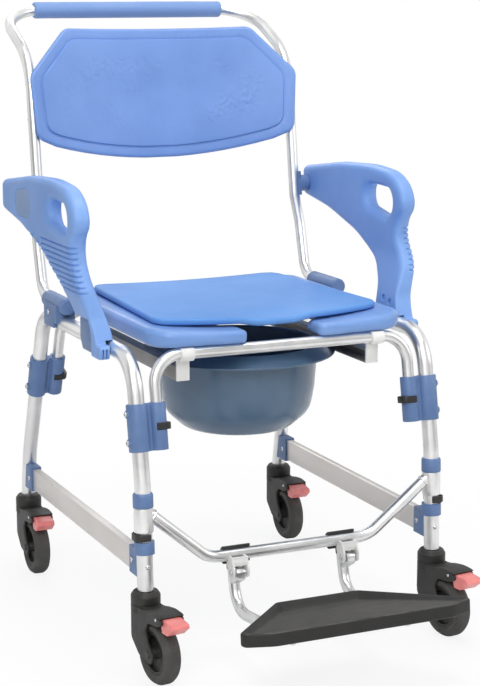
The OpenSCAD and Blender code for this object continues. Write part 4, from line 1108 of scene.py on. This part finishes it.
def seat_board():
    """A dished horseshoe round a keyhole opening."""
    meet = math.asin(SEAT_SLOT / HOLE_R)
    neck = HOLE_Y[0] - HOLE_R * math.cos(meet) - NECK_RUN
    half = [(SEAT_SLOT, SEAT_Y[0]), (SEAT_HALF, SEAT_Y[0]), (SEAT_HALF, SEAT_Y[1])]
    outer = rounded(mirrored(half) + [(-SEAT_SLOT, neck), (SEAT_SLOT, neck)], again(SEAT_CORNERS) + [0, 0])

    def front_arc(first, last):
        return [(HOLE_R * math.sin(w), HOLE_Y[0] - HOLE_R * math.cos(w))
                for w in np.linspace(first, last, 12)]

    sweep = front_arc(-meet, -math.pi / 2)
    sweep += [(-HOLE_R * math.cos(w), HOLE_Y[1] + HOLE_R * math.sin(w)) for w in np.linspace(0, math.pi, 28)]
    sweep += front_arc(math.pi / 2, meet)
    outline = finer(np.vstack([outer[:-1], sweep, outer[-1:]]), 12)

    def edge(p):
        low, high = SEAT_EDGE
        away = np.hypot(np.abs(p[:, 0]) - SEAT_SLOT, p[:, 1] - SEAT_Y[0])
        return low + (high - low) * smooth(away, 25, 70)

    def face(p, d):
        return SEAT_T - sag(DISH_R, SEAT_HALF) + sag(DISH_R, p[:, 0])

    slab = Slab([outline], edge, 14, steps=6, rows=2)
    stand_for("seat", slab.build("seat", face, flat(0), lambda q: q + (0, 0, SEAT_Z)))


seat_board()

COVER_Y = 84
COVER_L = 372
COVER_T = 11
COVER_IN = (24, 43)
COVER_BOW = 18
COVER_BOW_SPAN = 0.86
COVER_R = 4000
COVER_CORNER = 20
COVER_DROOP = 5
COVER_LIFT = 0.3


def seat_cover():
    """A thin lid with a bowed front, curved across and drooping a little over the seat's slot."""
    half, back_half = (SEAT_HALF - narrower for narrower in COVER_IN)
    end = COVER_Y + COVER_L
    bow = [(half * w * COVER_BOW_SPAN, COVER_Y - COVER_BOW * (1 - w * w)) for w in np.linspace(-1, 1, 25)]
    side = [(half * 0.97, COVER_Y + 8), (half, COVER_Y + 26), (back_half, end - 28), (back_half - 8, end - 8),
            (back_half - 28, end)]
    radii = [0] * len(bow) + [COVER_CORNER] * 2 * len(side)
    slab = Slab([finer(rounded(bow + mirrored(side), radii), 12)], 4.5, 16)
    rest = SEAT_Z + SEAT_T - sag(DISH_R, SEAT_HALF) + sag(DISH_R, half) + COVER_LIFT - sag(COVER_R, half)

    def back(p, d):
        front = smooth(p[:, 1], COVER_Y + 50, COVER_Y - COVER_BOW)
        droop = COVER_DROOP * front * smooth(np.abs(p[:, 0]), SEAT_SLOT + 4, SEAT_SLOT - 34)
        return sag(COVER_R, p[:, 0]) - droop

    def face(p, d):
        return COVER_T + back(p, d)

    stand_for("seat_cover", slab.build("seat_cover", face, back, lambda q: q + (0, 0, rest)))


seat_cover()

# The footplate is drawn flat as (x, y) forward of its heel, then tilted
PLATE_HEEL = (-84, 96)
PLATE_FRONT = -250
PLATE_TILT = math.radians(6)
PLATE_L = (PLATE_HEEL[0] - PLATE_FRONT) / math.cos(PLATE_TILT)
PLATE = [(72, 0), (193, 32 - PLATE_L), (193, 19 - PLATE_L), (150, -PLATE_L)]
PLATE_RADII = [14, 10, 11, 40]
PLATE_T = 21
PLATE_RIM = 4
TREAD_IN = (2.2, 13)
HEEL_RUN = (3, 13)
TOE_GROOVE = 1.6
TOE_GROOVE_IN = 10


def foot_plate():
    """A tray that deepens towards the heel, with a groove along its toe."""
    outline = finer(rounded(mirrored(PLATE), again(PLATE_RADII)), 12)
    lines = [ring(inset(wound(outline, True), PLATE_RIM + d)) for d in (0, 1.5, 3, 6, 9.5, 13)]
    slab = Slab([outline], 3.5, 10, lines, rows=2)

    def face(p, d):
        heel = smooth(p[:, 1], 4 - PLATE_L, 45 - PLATE_L)
        run = HEEL_RUN[0] + (HEEL_RUN[1] - HEEL_RUN[0]) * heel
        depth = TREAD_IN[0] + (TREAD_IN[1] - TREAD_IN[0]) * np.clip(1 + p[:, 1] / PLATE_L, 0, 1)
        front = smooth(p[:, 1], 22 - PLATE_L, 17 - PLATE_L) * smooth(np.abs(p[:, 0]), 110, 90)
        groove = TOE_GROOVE * front * smooth(np.abs(d - TOE_GROOVE_IN), 3.5, 0.5)
        return PLATE_T - depth * smooth(d, PLATE_RIM, PLATE_RIM + run) - groove

    def place(q):
        return leaned(q, PLATE_TILT, (0, *PLATE_HEEL))

    stand_for("footplate", slab.build("footplate", face, flat(0), place), "tread")


foot_plate()


# Turned pieces
GRIP_R = 15
GRIP_IN = 63
GRIP_EDGE = 4.5


def push_grip():
    """A foam sleeve on the push handle."""
    half = BACK_HALF - GRIP_IN
    profile = barrel(BAR_R + FIT, GRIP_R, -half, half, GRIP_EDGE, GRIP_EDGE, step=12)
    matrix = Matrix.Translation((0, *HANDLE)) @ CROSSWISE
    stand_for("push_grip", turned_mesh("push_grip", finer(profile, 12), matrix))


push_grip()

PAN_Y = 222
PAN_R = 136
PAN_FOOT_R = PAN_R - 46
PAN_WALL = 3
PAN_DEPTH = 130
PAN_RIM_R = 165
PAN_RIM_Z = 453.8
PAN_RIM_T = 4
PAN_BRIM = 15


def pan():
    """A round bowl with a brim that slopes down to the rails."""
    top = PAN_RIM_Z + PAN_RIM_T
    base = top - PAN_DEPTH
    outer = [(PAN_FOOT_R, base), (PAN_R - 12, base + 30), (PAN_R - 5, base + 70),
             (PAN_R, PAN_RIM_Z + PAN_BRIM - 5)]
    inner = [(x - PAN_WALL, z + 1) for x, z in reversed(outer)]
    inner[0] = (PAN_R - PAN_WALL - 0.5, top + PAN_BRIM - 1.5)
    inner[-1] = (PAN_FOOT_R - PAN_WALL / 2, base + PAN_WALL)
    brim = [(PAN_RIM_R, PAN_RIM_Z), (PAN_RIM_R, top - 0.5), (PAN_R + 3, top + PAN_BRIM)]
    corners = [(0, base)] + outer + brim + inner + [(0, base + PAN_WALL)]
    profile = rounded(corners, [0, 30, 40, 2, 3, 1.2, 1.2, 3, 3, 0, 40, 30, 0], 10)
    stand_for("pan", turned_mesh("pan", profile, Matrix.Translation((0, PAN_Y, 0)), 96))


pan()

WHEEL_R = 50
WHEEL_HALF = 14
HUB_R = 34
HUB_BORE = 4.08
HUB_BOSS = 9
HUB_WEB = 4.5


def drawn_spot(joint):
    """A joint's place in drawing millimetres."""
    return Vector(JOINTS[joint]["pos_m"]) * MM - Vector((0, STEM[1], 0))


def axle_frame(corner):
    """Axes at a wheel's centre, with Z along its axle."""
    return facing(drawn_spot("roll_" + corner), JOINTS["roll_" + corner]["axis"])


def wheel(corner):
    """A tyre and a hub that is dished on both sides."""
    matrix = axle_frame(corner)
    h, r = WHEEL_HALF, WHEEL_R
    side = [(HUB_R + FIT, 3 - h), (HUB_R + 5, -h), (r - 5, -h), (r, -h / 2)]
    node = "caster_tyre_" + corner
    stand_for(node, turned_mesh(node, rounded(doubled(side), again([0, 2, 5, 6]), 12), matrix, 72))
    low, dish = h - 3, HUB_R - 5
    boss = [(HUB_BORE, h + 1), (HUB_BOSS, h + 1), (HUB_BOSS + 0.6, HUB_WEB)]
    half = boss + [(dish - 0.6, HUB_WEB), (dish, low), (HUB_R, low)]
    node = "caster_hub_" + corner
    profile = rounded(doubled(half), again([0.4, 1, 1.2, 1.2, 1, 0.3]), 20)
    stand_for(node, turned_mesh(node, profile, matrix))


for corner in CORNERS:
    wheel(corner)

# A caster is drawn with its stem upright at the origin and its wheel trailing towards -Y
CHEEK_IN = 15.6
CHEEK_OUT = 20.6
COLLAR_R = 23.3
COLLAR_BORE = 6.1
COLLAR_LOW = 103
COLLAR_GROOVE = 117
COLLAR_TOP = 137
AXLE_HEAD = 2.4
CHEEK = [(9, 117), (12, 100), (12, 62), (-14, 40), (-54, 34.5), (-60.5, 50), (-42, 68), (-35, 86), (-44, 100),
         (-76, 103), (-89, 110), (-86, 117), (-66, 121.5), (-20, 116)]
CHEEK_RADII = [3, 8, 14, 10, 10, 11, 10, 12, 8, 6, 4, 4, 12, 8]
HOOD = [(6, 117), (6, 103), (-35, 108), (-57, 119.2), (-69, 119.2), (-86, 118.2), (-87.5, 120.4),
        (-80, 121.8), (-63, 122.6), (-41, 120.4), (-20, 115.5)]
HOOD_RADII = [0, 0, 10, 6, 10, 0.6, 1, 8, 30, 40, 10]
PEDAL_PIN = (-72, 114)
PEDAL_PIN_R = 2.5
WALL_R = 20
WALL_T = 5.5
WALL_SPAN = 62
WALL_Z = (66, 110)


def caster_frame(corner):
    """A caster's own axes, turned the way its wheel trails."""
    spot = drawn_spot("swivel_" + corner)
    way = drawn_spot("roll_" + corner) - spot
    return Matrix.Translation((spot.x, spot.y, 0)) @ Matrix.Rotation(math.atan2(way.x, -way.y), 4, "Z")


def fork_slabs():
    """A cheek, the hood and the back wall, all laid flat."""
    def hood_edge(p):
        return 1 + 2.6 * smooth(p[:, 0], -58, -34)

    cheek = Slab([finer(rounded(CHEEK, CHEEK_RADII, 10), 12)], 1.8, 20, steps=4)
    hood = Slab([finer(rounded(HOOD, HOOD_RADII, 10), 6)], hood_edge, 8, steps=4)
    half = WALL_R * math.radians(WALL_SPAN)
    low, high = WALL_Z
    wall = finer(rounded([(-half, low), (half, low), (half, high), (-half, high)], [10, 10, 1, 1]), 3)
    return cheek, hood, Slab([wall], 1.6, 6, steps=3)


def fork(slabs, corner):
    """The fork with its collar, the axle through it and the pin that the pedal tips on."""
    matrix = caster_frame(corner)
    cheek, hood, wall = slabs

    def place(q):
        return posed(q[:, [2, 0, 1]], matrix)

    def curved(q):
        turn = q[:, 0] / WALL_R
        return posed(np.column_stack([q[:, 2] * np.sin(turn), q[:, 2] * np.cos(turn), q[:, 1]]), matrix)

    r, low, top = COLLAR_R, COLLAR_LOW, COLLAR_TOP
    groove = [(r, COLLAR_GROOVE - 1.2), (r - 1.2, COLLAR_GROOVE), (r, COLLAR_GROOVE + 1.2)]
    collar = [(COLLAR_BORE, low), (r, low)] + groove + [(r, top - 6), (r - 4, top), (COLLAR_BORE, top)]
    pieces = [cheek.build("cheek", flat(CHEEK_OUT), flat(CHEEK_IN), place),
              cheek.build("cheek", flat(-CHEEK_IN), flat(-CHEEK_OUT), place),
              hood.build("hood", flat(CHEEK_OUT - 0.2), flat(0.2 - CHEEK_OUT), place),
              wall.build("wall", flat(r), flat(r - WALL_T), curved),
              turned_mesh("collar", rounded(collar, [0, 3, 0.5, 0.4, 0.5, 3, 1.5, 0], 15), matrix)]
    node = "caster_fork_" + corner
    stand_for(node, merged(node, pieces))
    reach = CHEEK_OUT + AXLE_HEAD
    head = [(0, -reach), (5.6, -reach), (6.5, -CHEEK_OUT), (4, -CHEEK_OUT)]
    node = "caster_axle_" + corner
    shaft = rounded(doubled(head), again([0, 1.6, 0, 0]), 20)
    stand_for(node, turned_mesh(node, shaft, axle_frame(corner), 32), "black_plastic")
    half = CHEEK_OUT + 1
    name = "pedal_pin_" + corner
    pin = turned_mesh(name, barrel(0, PEDAL_PIN_R, -half, half, 0.7, 0.7),
                      matrix @ Matrix.Translation((0, *PEDAL_PIN)) @ CROSSWISE, 24)
    show(name, pin, "steel", BODY[node])


forks = fork_slabs()
for corner in CORNERS:
    fork(forks, corner)

# A clamp is drawn with its leg upright at the origin and its crossbar at -CLAMP_PITCH
CLAMP_R = FRAME_R + 4
CLAMP_INNER_R = BAR_R + 4.5
CLAMP_WEB = 5.5
CLAMP_SCREW = 0.3 * CLAMP_L
BOSS_R = 6.5
BOSS_BORE = 2.1
BOSS_OUT = CLAMP_R + 2
CLIP_HALF = 5.5
CLIP_CORE = BAR_R + 1.8
CLIP_SIDE = CLAMP_INNER_R + 0.4
CLIP_PLAY = 0.4
CLIP_PIN_R = 2.5


def arc(x, y, r, angles):
    """Points on a circle at the given angles."""
    return [(x + r * math.cos(w), y + r * math.sin(w)) for w in angles]


def circle(x, r):
    return arc(x, 0, r, np.linspace(0, 2 * math.pi, 44, endpoint=False))


def clamp_slab():
    """Two rounds joined by a thinner web, so that a flute runs down between the tubes."""
    outer, inner = math.asin(CLAMP_WEB / CLAMP_R), math.asin(CLAMP_WEB / CLAMP_INNER_R)
    outline = arc(0, 0, CLAMP_R, np.linspace(outer - math.pi, math.pi - outer, 44))
    outline += arc(-CLAMP_PITCH, 0, CLAMP_INNER_R, np.linspace(inner, 2 * math.pi - inner, 40))
    bores = [circle(0, FRAME_R + FIT), circle(-CLAMP_PITCH, BAR_R + FIT)]
    return Slab([outline] + bores, 1.3, 100, steps=3)


def clamp_place(s, end):
    """Sets a clamp's points on its leg."""
    knee, top, z = CLAMPS[end]
    return lambda q: leaned(q, lean_of(knee, top), (HALF_W, along(knee, top, z), z)) * (s, 1, 1)


def clamp(slab, place):
    """A clamp with room for its clip and a boss round each screw."""
    x, slot = -CLAMP_PITCH, CLIP_HALF + CLIP_PLAY
    cutters = [box_mesh((x - 16, k * CLIP_CORE, -slot), (x + 6.4, k * 30, slot), place) for k in (-1, 1)]
    cutters.append(box_mesh((x - 20, -20, -slot), (x - 11.8, 20, slot), place))
    pieces = [cut(slab.build("clamp", flat(CLAMP_L / 2), flat(-CLAMP_L / 2), place), *cutters)]
    boss = barrel(BOSS_BORE, BOSS_R, FRAME_R + 2, BOSS_OUT, high_edge=1.4, mouth=0.3, step=15)
    points, faces = turned(boss, 36)
    for z in (-CLAMP_SCREW, CLAMP_SCREW):
        pieces.append(mesh_of("boss", place(points[:, [2, 0, 1]] + (0, 0, z)), faces))
    return merged("clamp", pieces)


def clip_slab(prong, throat, bends, edge):
    """A pull clip seen along the leg: a thumb bar and two prongs, given by one half of each."""
    radii = again([0.6] + bends) + again([0.6, 1.5])
    return Slab([rounded(doubled(prong) + doubled(throat), radii, 12)], edge, 100, steps=3)


def pull_clip(node, slab, pin, place):
    """A pull clip with its pin, in place of a CAD clip."""
    loop = slab.build(node, flat(CLIP_HALF), flat(-CLIP_HALF), place)
    points, faces = turned(pin, 24)
    stand_for(node, merged(node, [loop, mesh_of("stud", place(points[:, [2, 0, 1]]), faces)]))


def clamps():
    """Four clamps as one piece, and a lock clip in each."""
    body, made = clamp_slab(), []
    throat = -CLIP_CORE - CLIP_PLAY
    prong = [(6, CLIP_SIDE), (-13, CLIP_SIDE), (-18.5, 9.5)]
    clip = clip_slab(prong, [(6, throat), (-12.2, throat)], [4, 7], 1.1)
    pin = barrel(0, CLIP_PIN_R, -13, -2.3, high_edge=0.8)
    for side, s in SIDES:
        for end in CLAMPS:
            place = clamp_place(s, end)
            made.append(clamp(body, place))
            pull_clip("lock_clip_%s_%s" % (end, side), clip, pin, lambda q: place(q - (CLAMP_PITCH, 0, 0)))
    stand_for("frame_clamps", merged("frame_clamps", made))


clamps()

SOCKET_CUT = 361
SOCKET_END_R = 14.4


def back_sockets():
    """The CAD sockets with their long front collar taken off and a closed round end in its place."""
    collar = box_mesh((-400, 300, 400), (400, SOCKET_CUT, 600))
    short = cut(softened("back_sockets", 2.0), collar)
    end = barrel(0, SOCKET_END_R, SOCKET_FRONT, SOCKET_CUT + 1, low_edge=4, step=12)
    points, faces = turned(end, 48)
    caps = [mesh_of("cap", points[:, [0, 2, 1]] + (s * HALF_W, 0, SOCKET_Z), faces) for _, s in SIDES]
    stand_for("back_sockets", merged("back_sockets", [short] + caps, 30))


def arm_hinges():
    """The CAD hinge brackets less the half ring that would hide the back tube."""
    reach = BACK_HALF + 4.5
    ring_half = box_mesh((-reach, 400, 600), (reach, 600, 800))
    stand_for("armrest_brackets", cut(softened("armrest_brackets", 1.5), ring_half))


back_sockets()
arm_hinges()

FOOT_BAR = (143, 15, 170)
FOOT_BAR_TOP = 266
FOOT_BAR_BEND = 50
SLEEVE = (230, 269)
SLEEVE_T = 2.5
BEAD_R = 2.6
FOOT_ARM_X = 98
FOOT_ARM = [(23.2, 153), (4, 78.7), (-200, 100.1)]
FOOT_ARM_R = 9
FOOT_ARM_BEND = 42
PLUG_R = 9.8
FOOT_CLIP_Z = 223


def leg_frame(s, z):
    """Axes with Z along a front leg's lower run, at height z."""
    lean = Matrix.Rotation(-lean_of(FRONT_FOOT, FRONT_KNEE), 4, "X")
    return Matrix.Translation((s * HALF_W, front_leg_y(z), z)) @ lean


def footrest():
    """A dropped bar between two sleeves on the front legs, with a weld bead at each end."""
    half, y, z = FOOT_BAR
    start = Vector((HALF_W - 8, front_leg_y(FOOT_BAR_TOP), FOOT_BAR_TOP - 7))
    path = [start, (half, y, z), (-half, y, z), (-start.x, start.y, start.z)]
    pieces = [tube_mesh("footrest_bar", path, again([0, FOOT_BAR_BEND]), BAR_R)]
    low, high = SLEEVE
    rise = (high - low) / 2
    sleeve = barrel(FRAME_R + FIT, FRAME_R + SLEEVE_T, -rise, rise, 0.8, 0.8)
    bead = arc(BAR_R - 1, 0, BEAD_R, np.linspace(0, 2 * math.pi, 12, False))
    way = (Vector((half, y, z)) - start).normalized()
    spot = start + way * 8.5
    for s in (-1, 1):
        pieces.append(turned_mesh("sleeve", sleeve, leg_frame(s, (low + high) / 2)))
        there = facing((s * spot.x, spot.y, spot.z), (s * way.x, way.y, way.z))
        pieces.append(turned_mesh("bead", bead, there, 40))
    stand_for("footrest_bar", merged("footrest_bar", pieces))


def foot_arms():
    """The CAD arms with the tube at its full thickness, and a black plug in its upper end."""
    pieces = [softened("footplate_arms", 0.8)]
    plugs = []
    plug = barrel(0, PLUG_R, -9, 1.5, 0.8, 2)
    for s in (-1, 1):
        path = [Vector((s * FOOT_ARM_X, y, z)) for y, z in FOOT_ARM]
        pieces.append(tube_mesh("foot_arm", path, [0, FOOT_ARM_BEND, 0], FOOT_ARM_R))
        plugs.append(turned_mesh("plug", plug, facing(path[0], (path[0] - path[1]).normalized()), 40))
    stand_for("footplate_arms", merged("footplate_arms", pieces))
    show("foot_arm_plugs", merged("foot_arm_plugs", plugs), "black_plastic", BODY["footplate_arms"])


def footrest_clips():
    """A clip past each front leg, with a pin through its outer wall."""
    flank, throat = FRAME_R + 3.9, -FRAME_R - CLIP_PLAY
    prong = [(-6, flank), (11, flank), (17.8, 9)]
    clip = clip_slab(prong, [(-6, throat), (FRAME_R + 0.5, throat)], [6, 8], 1.4)
    pin = barrel(0, CLIP_PIN_R, 9, 14, low_edge=0.8)
    matrix = leg_frame(1, FOOT_CLIP_Z)
    for side, s in SIDES:
        pull_clip("footrest_clip_" + side, clip, pin, lambda q: posed(q, matrix) * (s, 1, 1))


footrest()
foot_arms()
footrest_clips()


# Screws
def islands(mesh):
    """The loose parts of a mesh, each as an array of points, in the order of the mesh's own points."""
    bm = bmesh.new()
    bm.from_mesh(mesh)
    bmesh.ops.remove_doubles(bm, verts=bm.verts, dist=2e-6)
    bm.verts.index_update()
    seen, out = set(), []
    for first in bm.verts:
        if first.index in seen:
            continue
        seen.add(first.index)
        part, edge = [], [first]
        while edge:
            vert = edge.pop()
            part.append(tuple(vert.co))
            near = [link.other_vert(vert) for link in vert.link_edges]
            fresh = [v for v in near if v.index not in seen]
            seen.update(v.index for v in fresh)
            edge.extend(fresh)
        out.append(np.array(part))
    bm.free()
    return out


# In metres: what of a CAD screw lies further out than this is its head
SHANK_LIMIT = 0.003


def screw_seat(points):
    """Where a screw's head sits and which way it faces, from the CAD screw's points."""
    centre = points.mean(0)
    spreads, ways = np.linalg.eigh(np.cov((points - centre).T))
    axis = ways[:, 0 if spreads[1] - spreads[0] > spreads[2] - spreads[1] else 2]
    run = (points - centre) @ axis
    head = np.linalg.norm(points - centre - np.outer(run, axis), axis=1) > SHANK_LIMIT
    if run[head].mean() < run[~head].mean():
        axis, run = -axis, -run
    return centre + axis * run[head].min(), axis


def screws():
    """Pan-head screws with a cross recess, seated where the CAD's screws are."""
    home = Matrix.Translation((0, -STEM[1], 0))
    head = rounded([(0, -2.6), (1.9, -2.6), (1.9, 0), (4.5, 0), (4.4, 1.5), (2.4, 2.5), (0, 2.6)],
                   [0, 0.4, 0, 0.2, 1, 3, 0], 15)
    shape = turned_mesh("screw_shape", head, home, 36)
    bars = [box_mesh((-x, -y - STEM[1], 1.3), (x, y - STEM[1], 4)) for x, y in ((2.5, 0.5), (0.5, 2.5))]
    spots, axes = zip(*[screw_seat(part) for part in islands(NODES["frame_screws"].data)])
    stand_for("frame_screws", seated("frame_screws", spots, axes, cut(shape, *bars), "steel"))


screws()

# Fittings: the CAD solid with its edges softened
SOFTENED = {
    "side_bar_brackets": 1.0, "footrest_collars": 1.0, "armrest_latch_left": 1.5, "armrest_latch_right": 1.5,
    "footplate_bumpers": 1.0, "rail_hangers": 0.8, "side_bars": 1.5,
    "caster_stems": 0.4, "hinge_pins": 0.5,
}
for corner in CORNERS:
    SOFTENED.update({"brake_pedal_" + corner: 2.0, "stem_button_" + corner: 0.4})
for node, width in SOFTENED.items():
    stand_for(node, softened(node, width))
# The pan rails get a darker grey as painted shade under the seat.
stand_for("pan_rails", softened("pan_rails", 0.4), "rail_enamel")
_, bar_y, bar_z = FOOT_BAR
over_bar = box_mesh((-HALF_W, -30, bar_z + 1), (HALF_W, bar_y + 30, bar_z + 40))
stand_for("footplate_brackets", cut(softened("footplate_brackets", 0.8), over_bar))

# Stage: camera, floor and light
CAMERA_AT = (-1.2243, -2.7353, 1.0617)
CAMERA_AZIMUTH = -24.36
CAMERA_ELEVATION = 11.28
CAMERA_LENS = 94.54
FLOOR_HALF = 8.0
LAMPS_AIM = (0, 0, 0.5)


def camera():
    """The camera at the angle that the chair is seen from."""
    azimuth, elevation = math.radians(CAMERA_AZIMUTH), math.radians(CAMERA_ELEVATION)
    back = Vector((math.sin(azimuth) * math.cos(elevation), -math.cos(azimuth) * math.cos(elevation),
                   math.sin(elevation)))
    data = bpy.data.cameras.new("camera")
    data.sensor_fit = "VERTICAL"
    data.sensor_height = 36
    data.lens = CAMERA_LENS
    obj = placed("camera", data)
    obj.location = CAMERA_AT
    obj.rotation_mode = "QUATERNION"
    obj.rotation_quaternion = (-back).to_track_quat("-Z", "Y")
    bpy.context.scene.camera = obj


def floor():
    """A plain pale floor, nearly white to the camera and matt to the light."""
    look = Look("pale_floor")
    tone = look.noise(3, 2)
    colour = look.tint(tone, srgb(244, 244, 244), srgb(247, 247, 247))
    matt = look.node("ShaderNodeBsdfPrincipled", None, {"Base Color": colour, "Roughness": 0.85})
    white = look.node("ShaderNodeEmission", None, {"Color": (1, 1, 1, 1), "Strength": 1.0})
    away = look.node("ShaderNodeVectorMath", {"operation": "LENGTH"}, {0: look.coords}, out="Value")
    pale = look.node("ShaderNodeLightPath", out="Is Camera Ray") * look.ease(away, 0.4, 1.2, 0.86, 1.0)
    surface = look.node("ShaderNodeMixShader", None, {0: pale, 1: matt, 2: white})
    look.node("ShaderNodeOutputMaterial", None, {"Surface": surface})
    half = FLOOR_HALF
    corners = [(-half, -half, 0), (half, -half, 0), (half, half, 0), (-half, half, 0)]
    mesh = drawn_mesh("floor", corners, [], [(0, 1, 2, 3)])
    mesh.materials.append(look.material)
    placed("floor", mesh)


def lamp(name, place, size, power):
    """A round soft lamp aimed at the seat."""
    data = bpy.data.lights.new(name, "AREA")
    data.shape = "DISK"
    data.size = size
    data.energy = power
    obj = placed(name, data)
    obj.location = place
    obj.rotation_mode = "QUATERNION"
    obj.rotation_quaternion = (Vector(place) - Vector(LAMPS_AIM)).to_track_quat("Z", "Y")


def studio():
    """White to the eye, softly graded in reflections, even in the light it gives."""
    world = bpy.data.worlds.new("studio")
    world.use_nodes = True
    graph = Graph(world.node_tree)
    graph.tree.nodes.clear()
    way = graph.node("ShaderNodeTexCoord", out="Generated")
    parts = graph.node("ShaderNodeSeparateXYZ", None, {0: way})
    turn = graph.node("ShaderNodeMath", {"operation": "ARCTAN2"}, {0: parts.out("X"), 1: parts.out("Y")})
    wave = graph.node("ShaderNodeMath", {"operation": "SINE"}, {0: turn * 3 + 0.6})
    bands = graph.node("ShaderNodeMapRange", {"interpolation_type": "SMOOTHSTEP"},
                       {0: wave, 1: 0.1, 2: 1.0, 3: 0.95, 4: 0.32})
    path = graph.node("ShaderNodeLightPath")
    seen = path.out("Is Camera Ray") + path.out("Is Transmission Ray")
    glossy = path.out("Is Glossy Ray")
    level = seen + (1 - seen) * (glossy * bands + (1 - glossy) * 0.42)
    light = graph.node("ShaderNodeBackground", None, {"Color": (1, 1, 1, 1), "Strength": level})
    graph.node("ShaderNodeOutputWorld", None, {"Surface": light})
    bpy.context.scene.world = world
    lamp("key", (-1.8, -2.7, 2.4), 1.8, 54)
    lamp("fill", (2.6, -1.8, 1.8), 2.0, 18)
    lamp("top", (0.1, -0.5, 2.9), 1.5, 32)
    lamp("back", (0.6, 2.6, 2.4), 2.0, 24)


camera()
floor()
studio()
bpy.context.scene.view_settings.view_transform = "Standard"
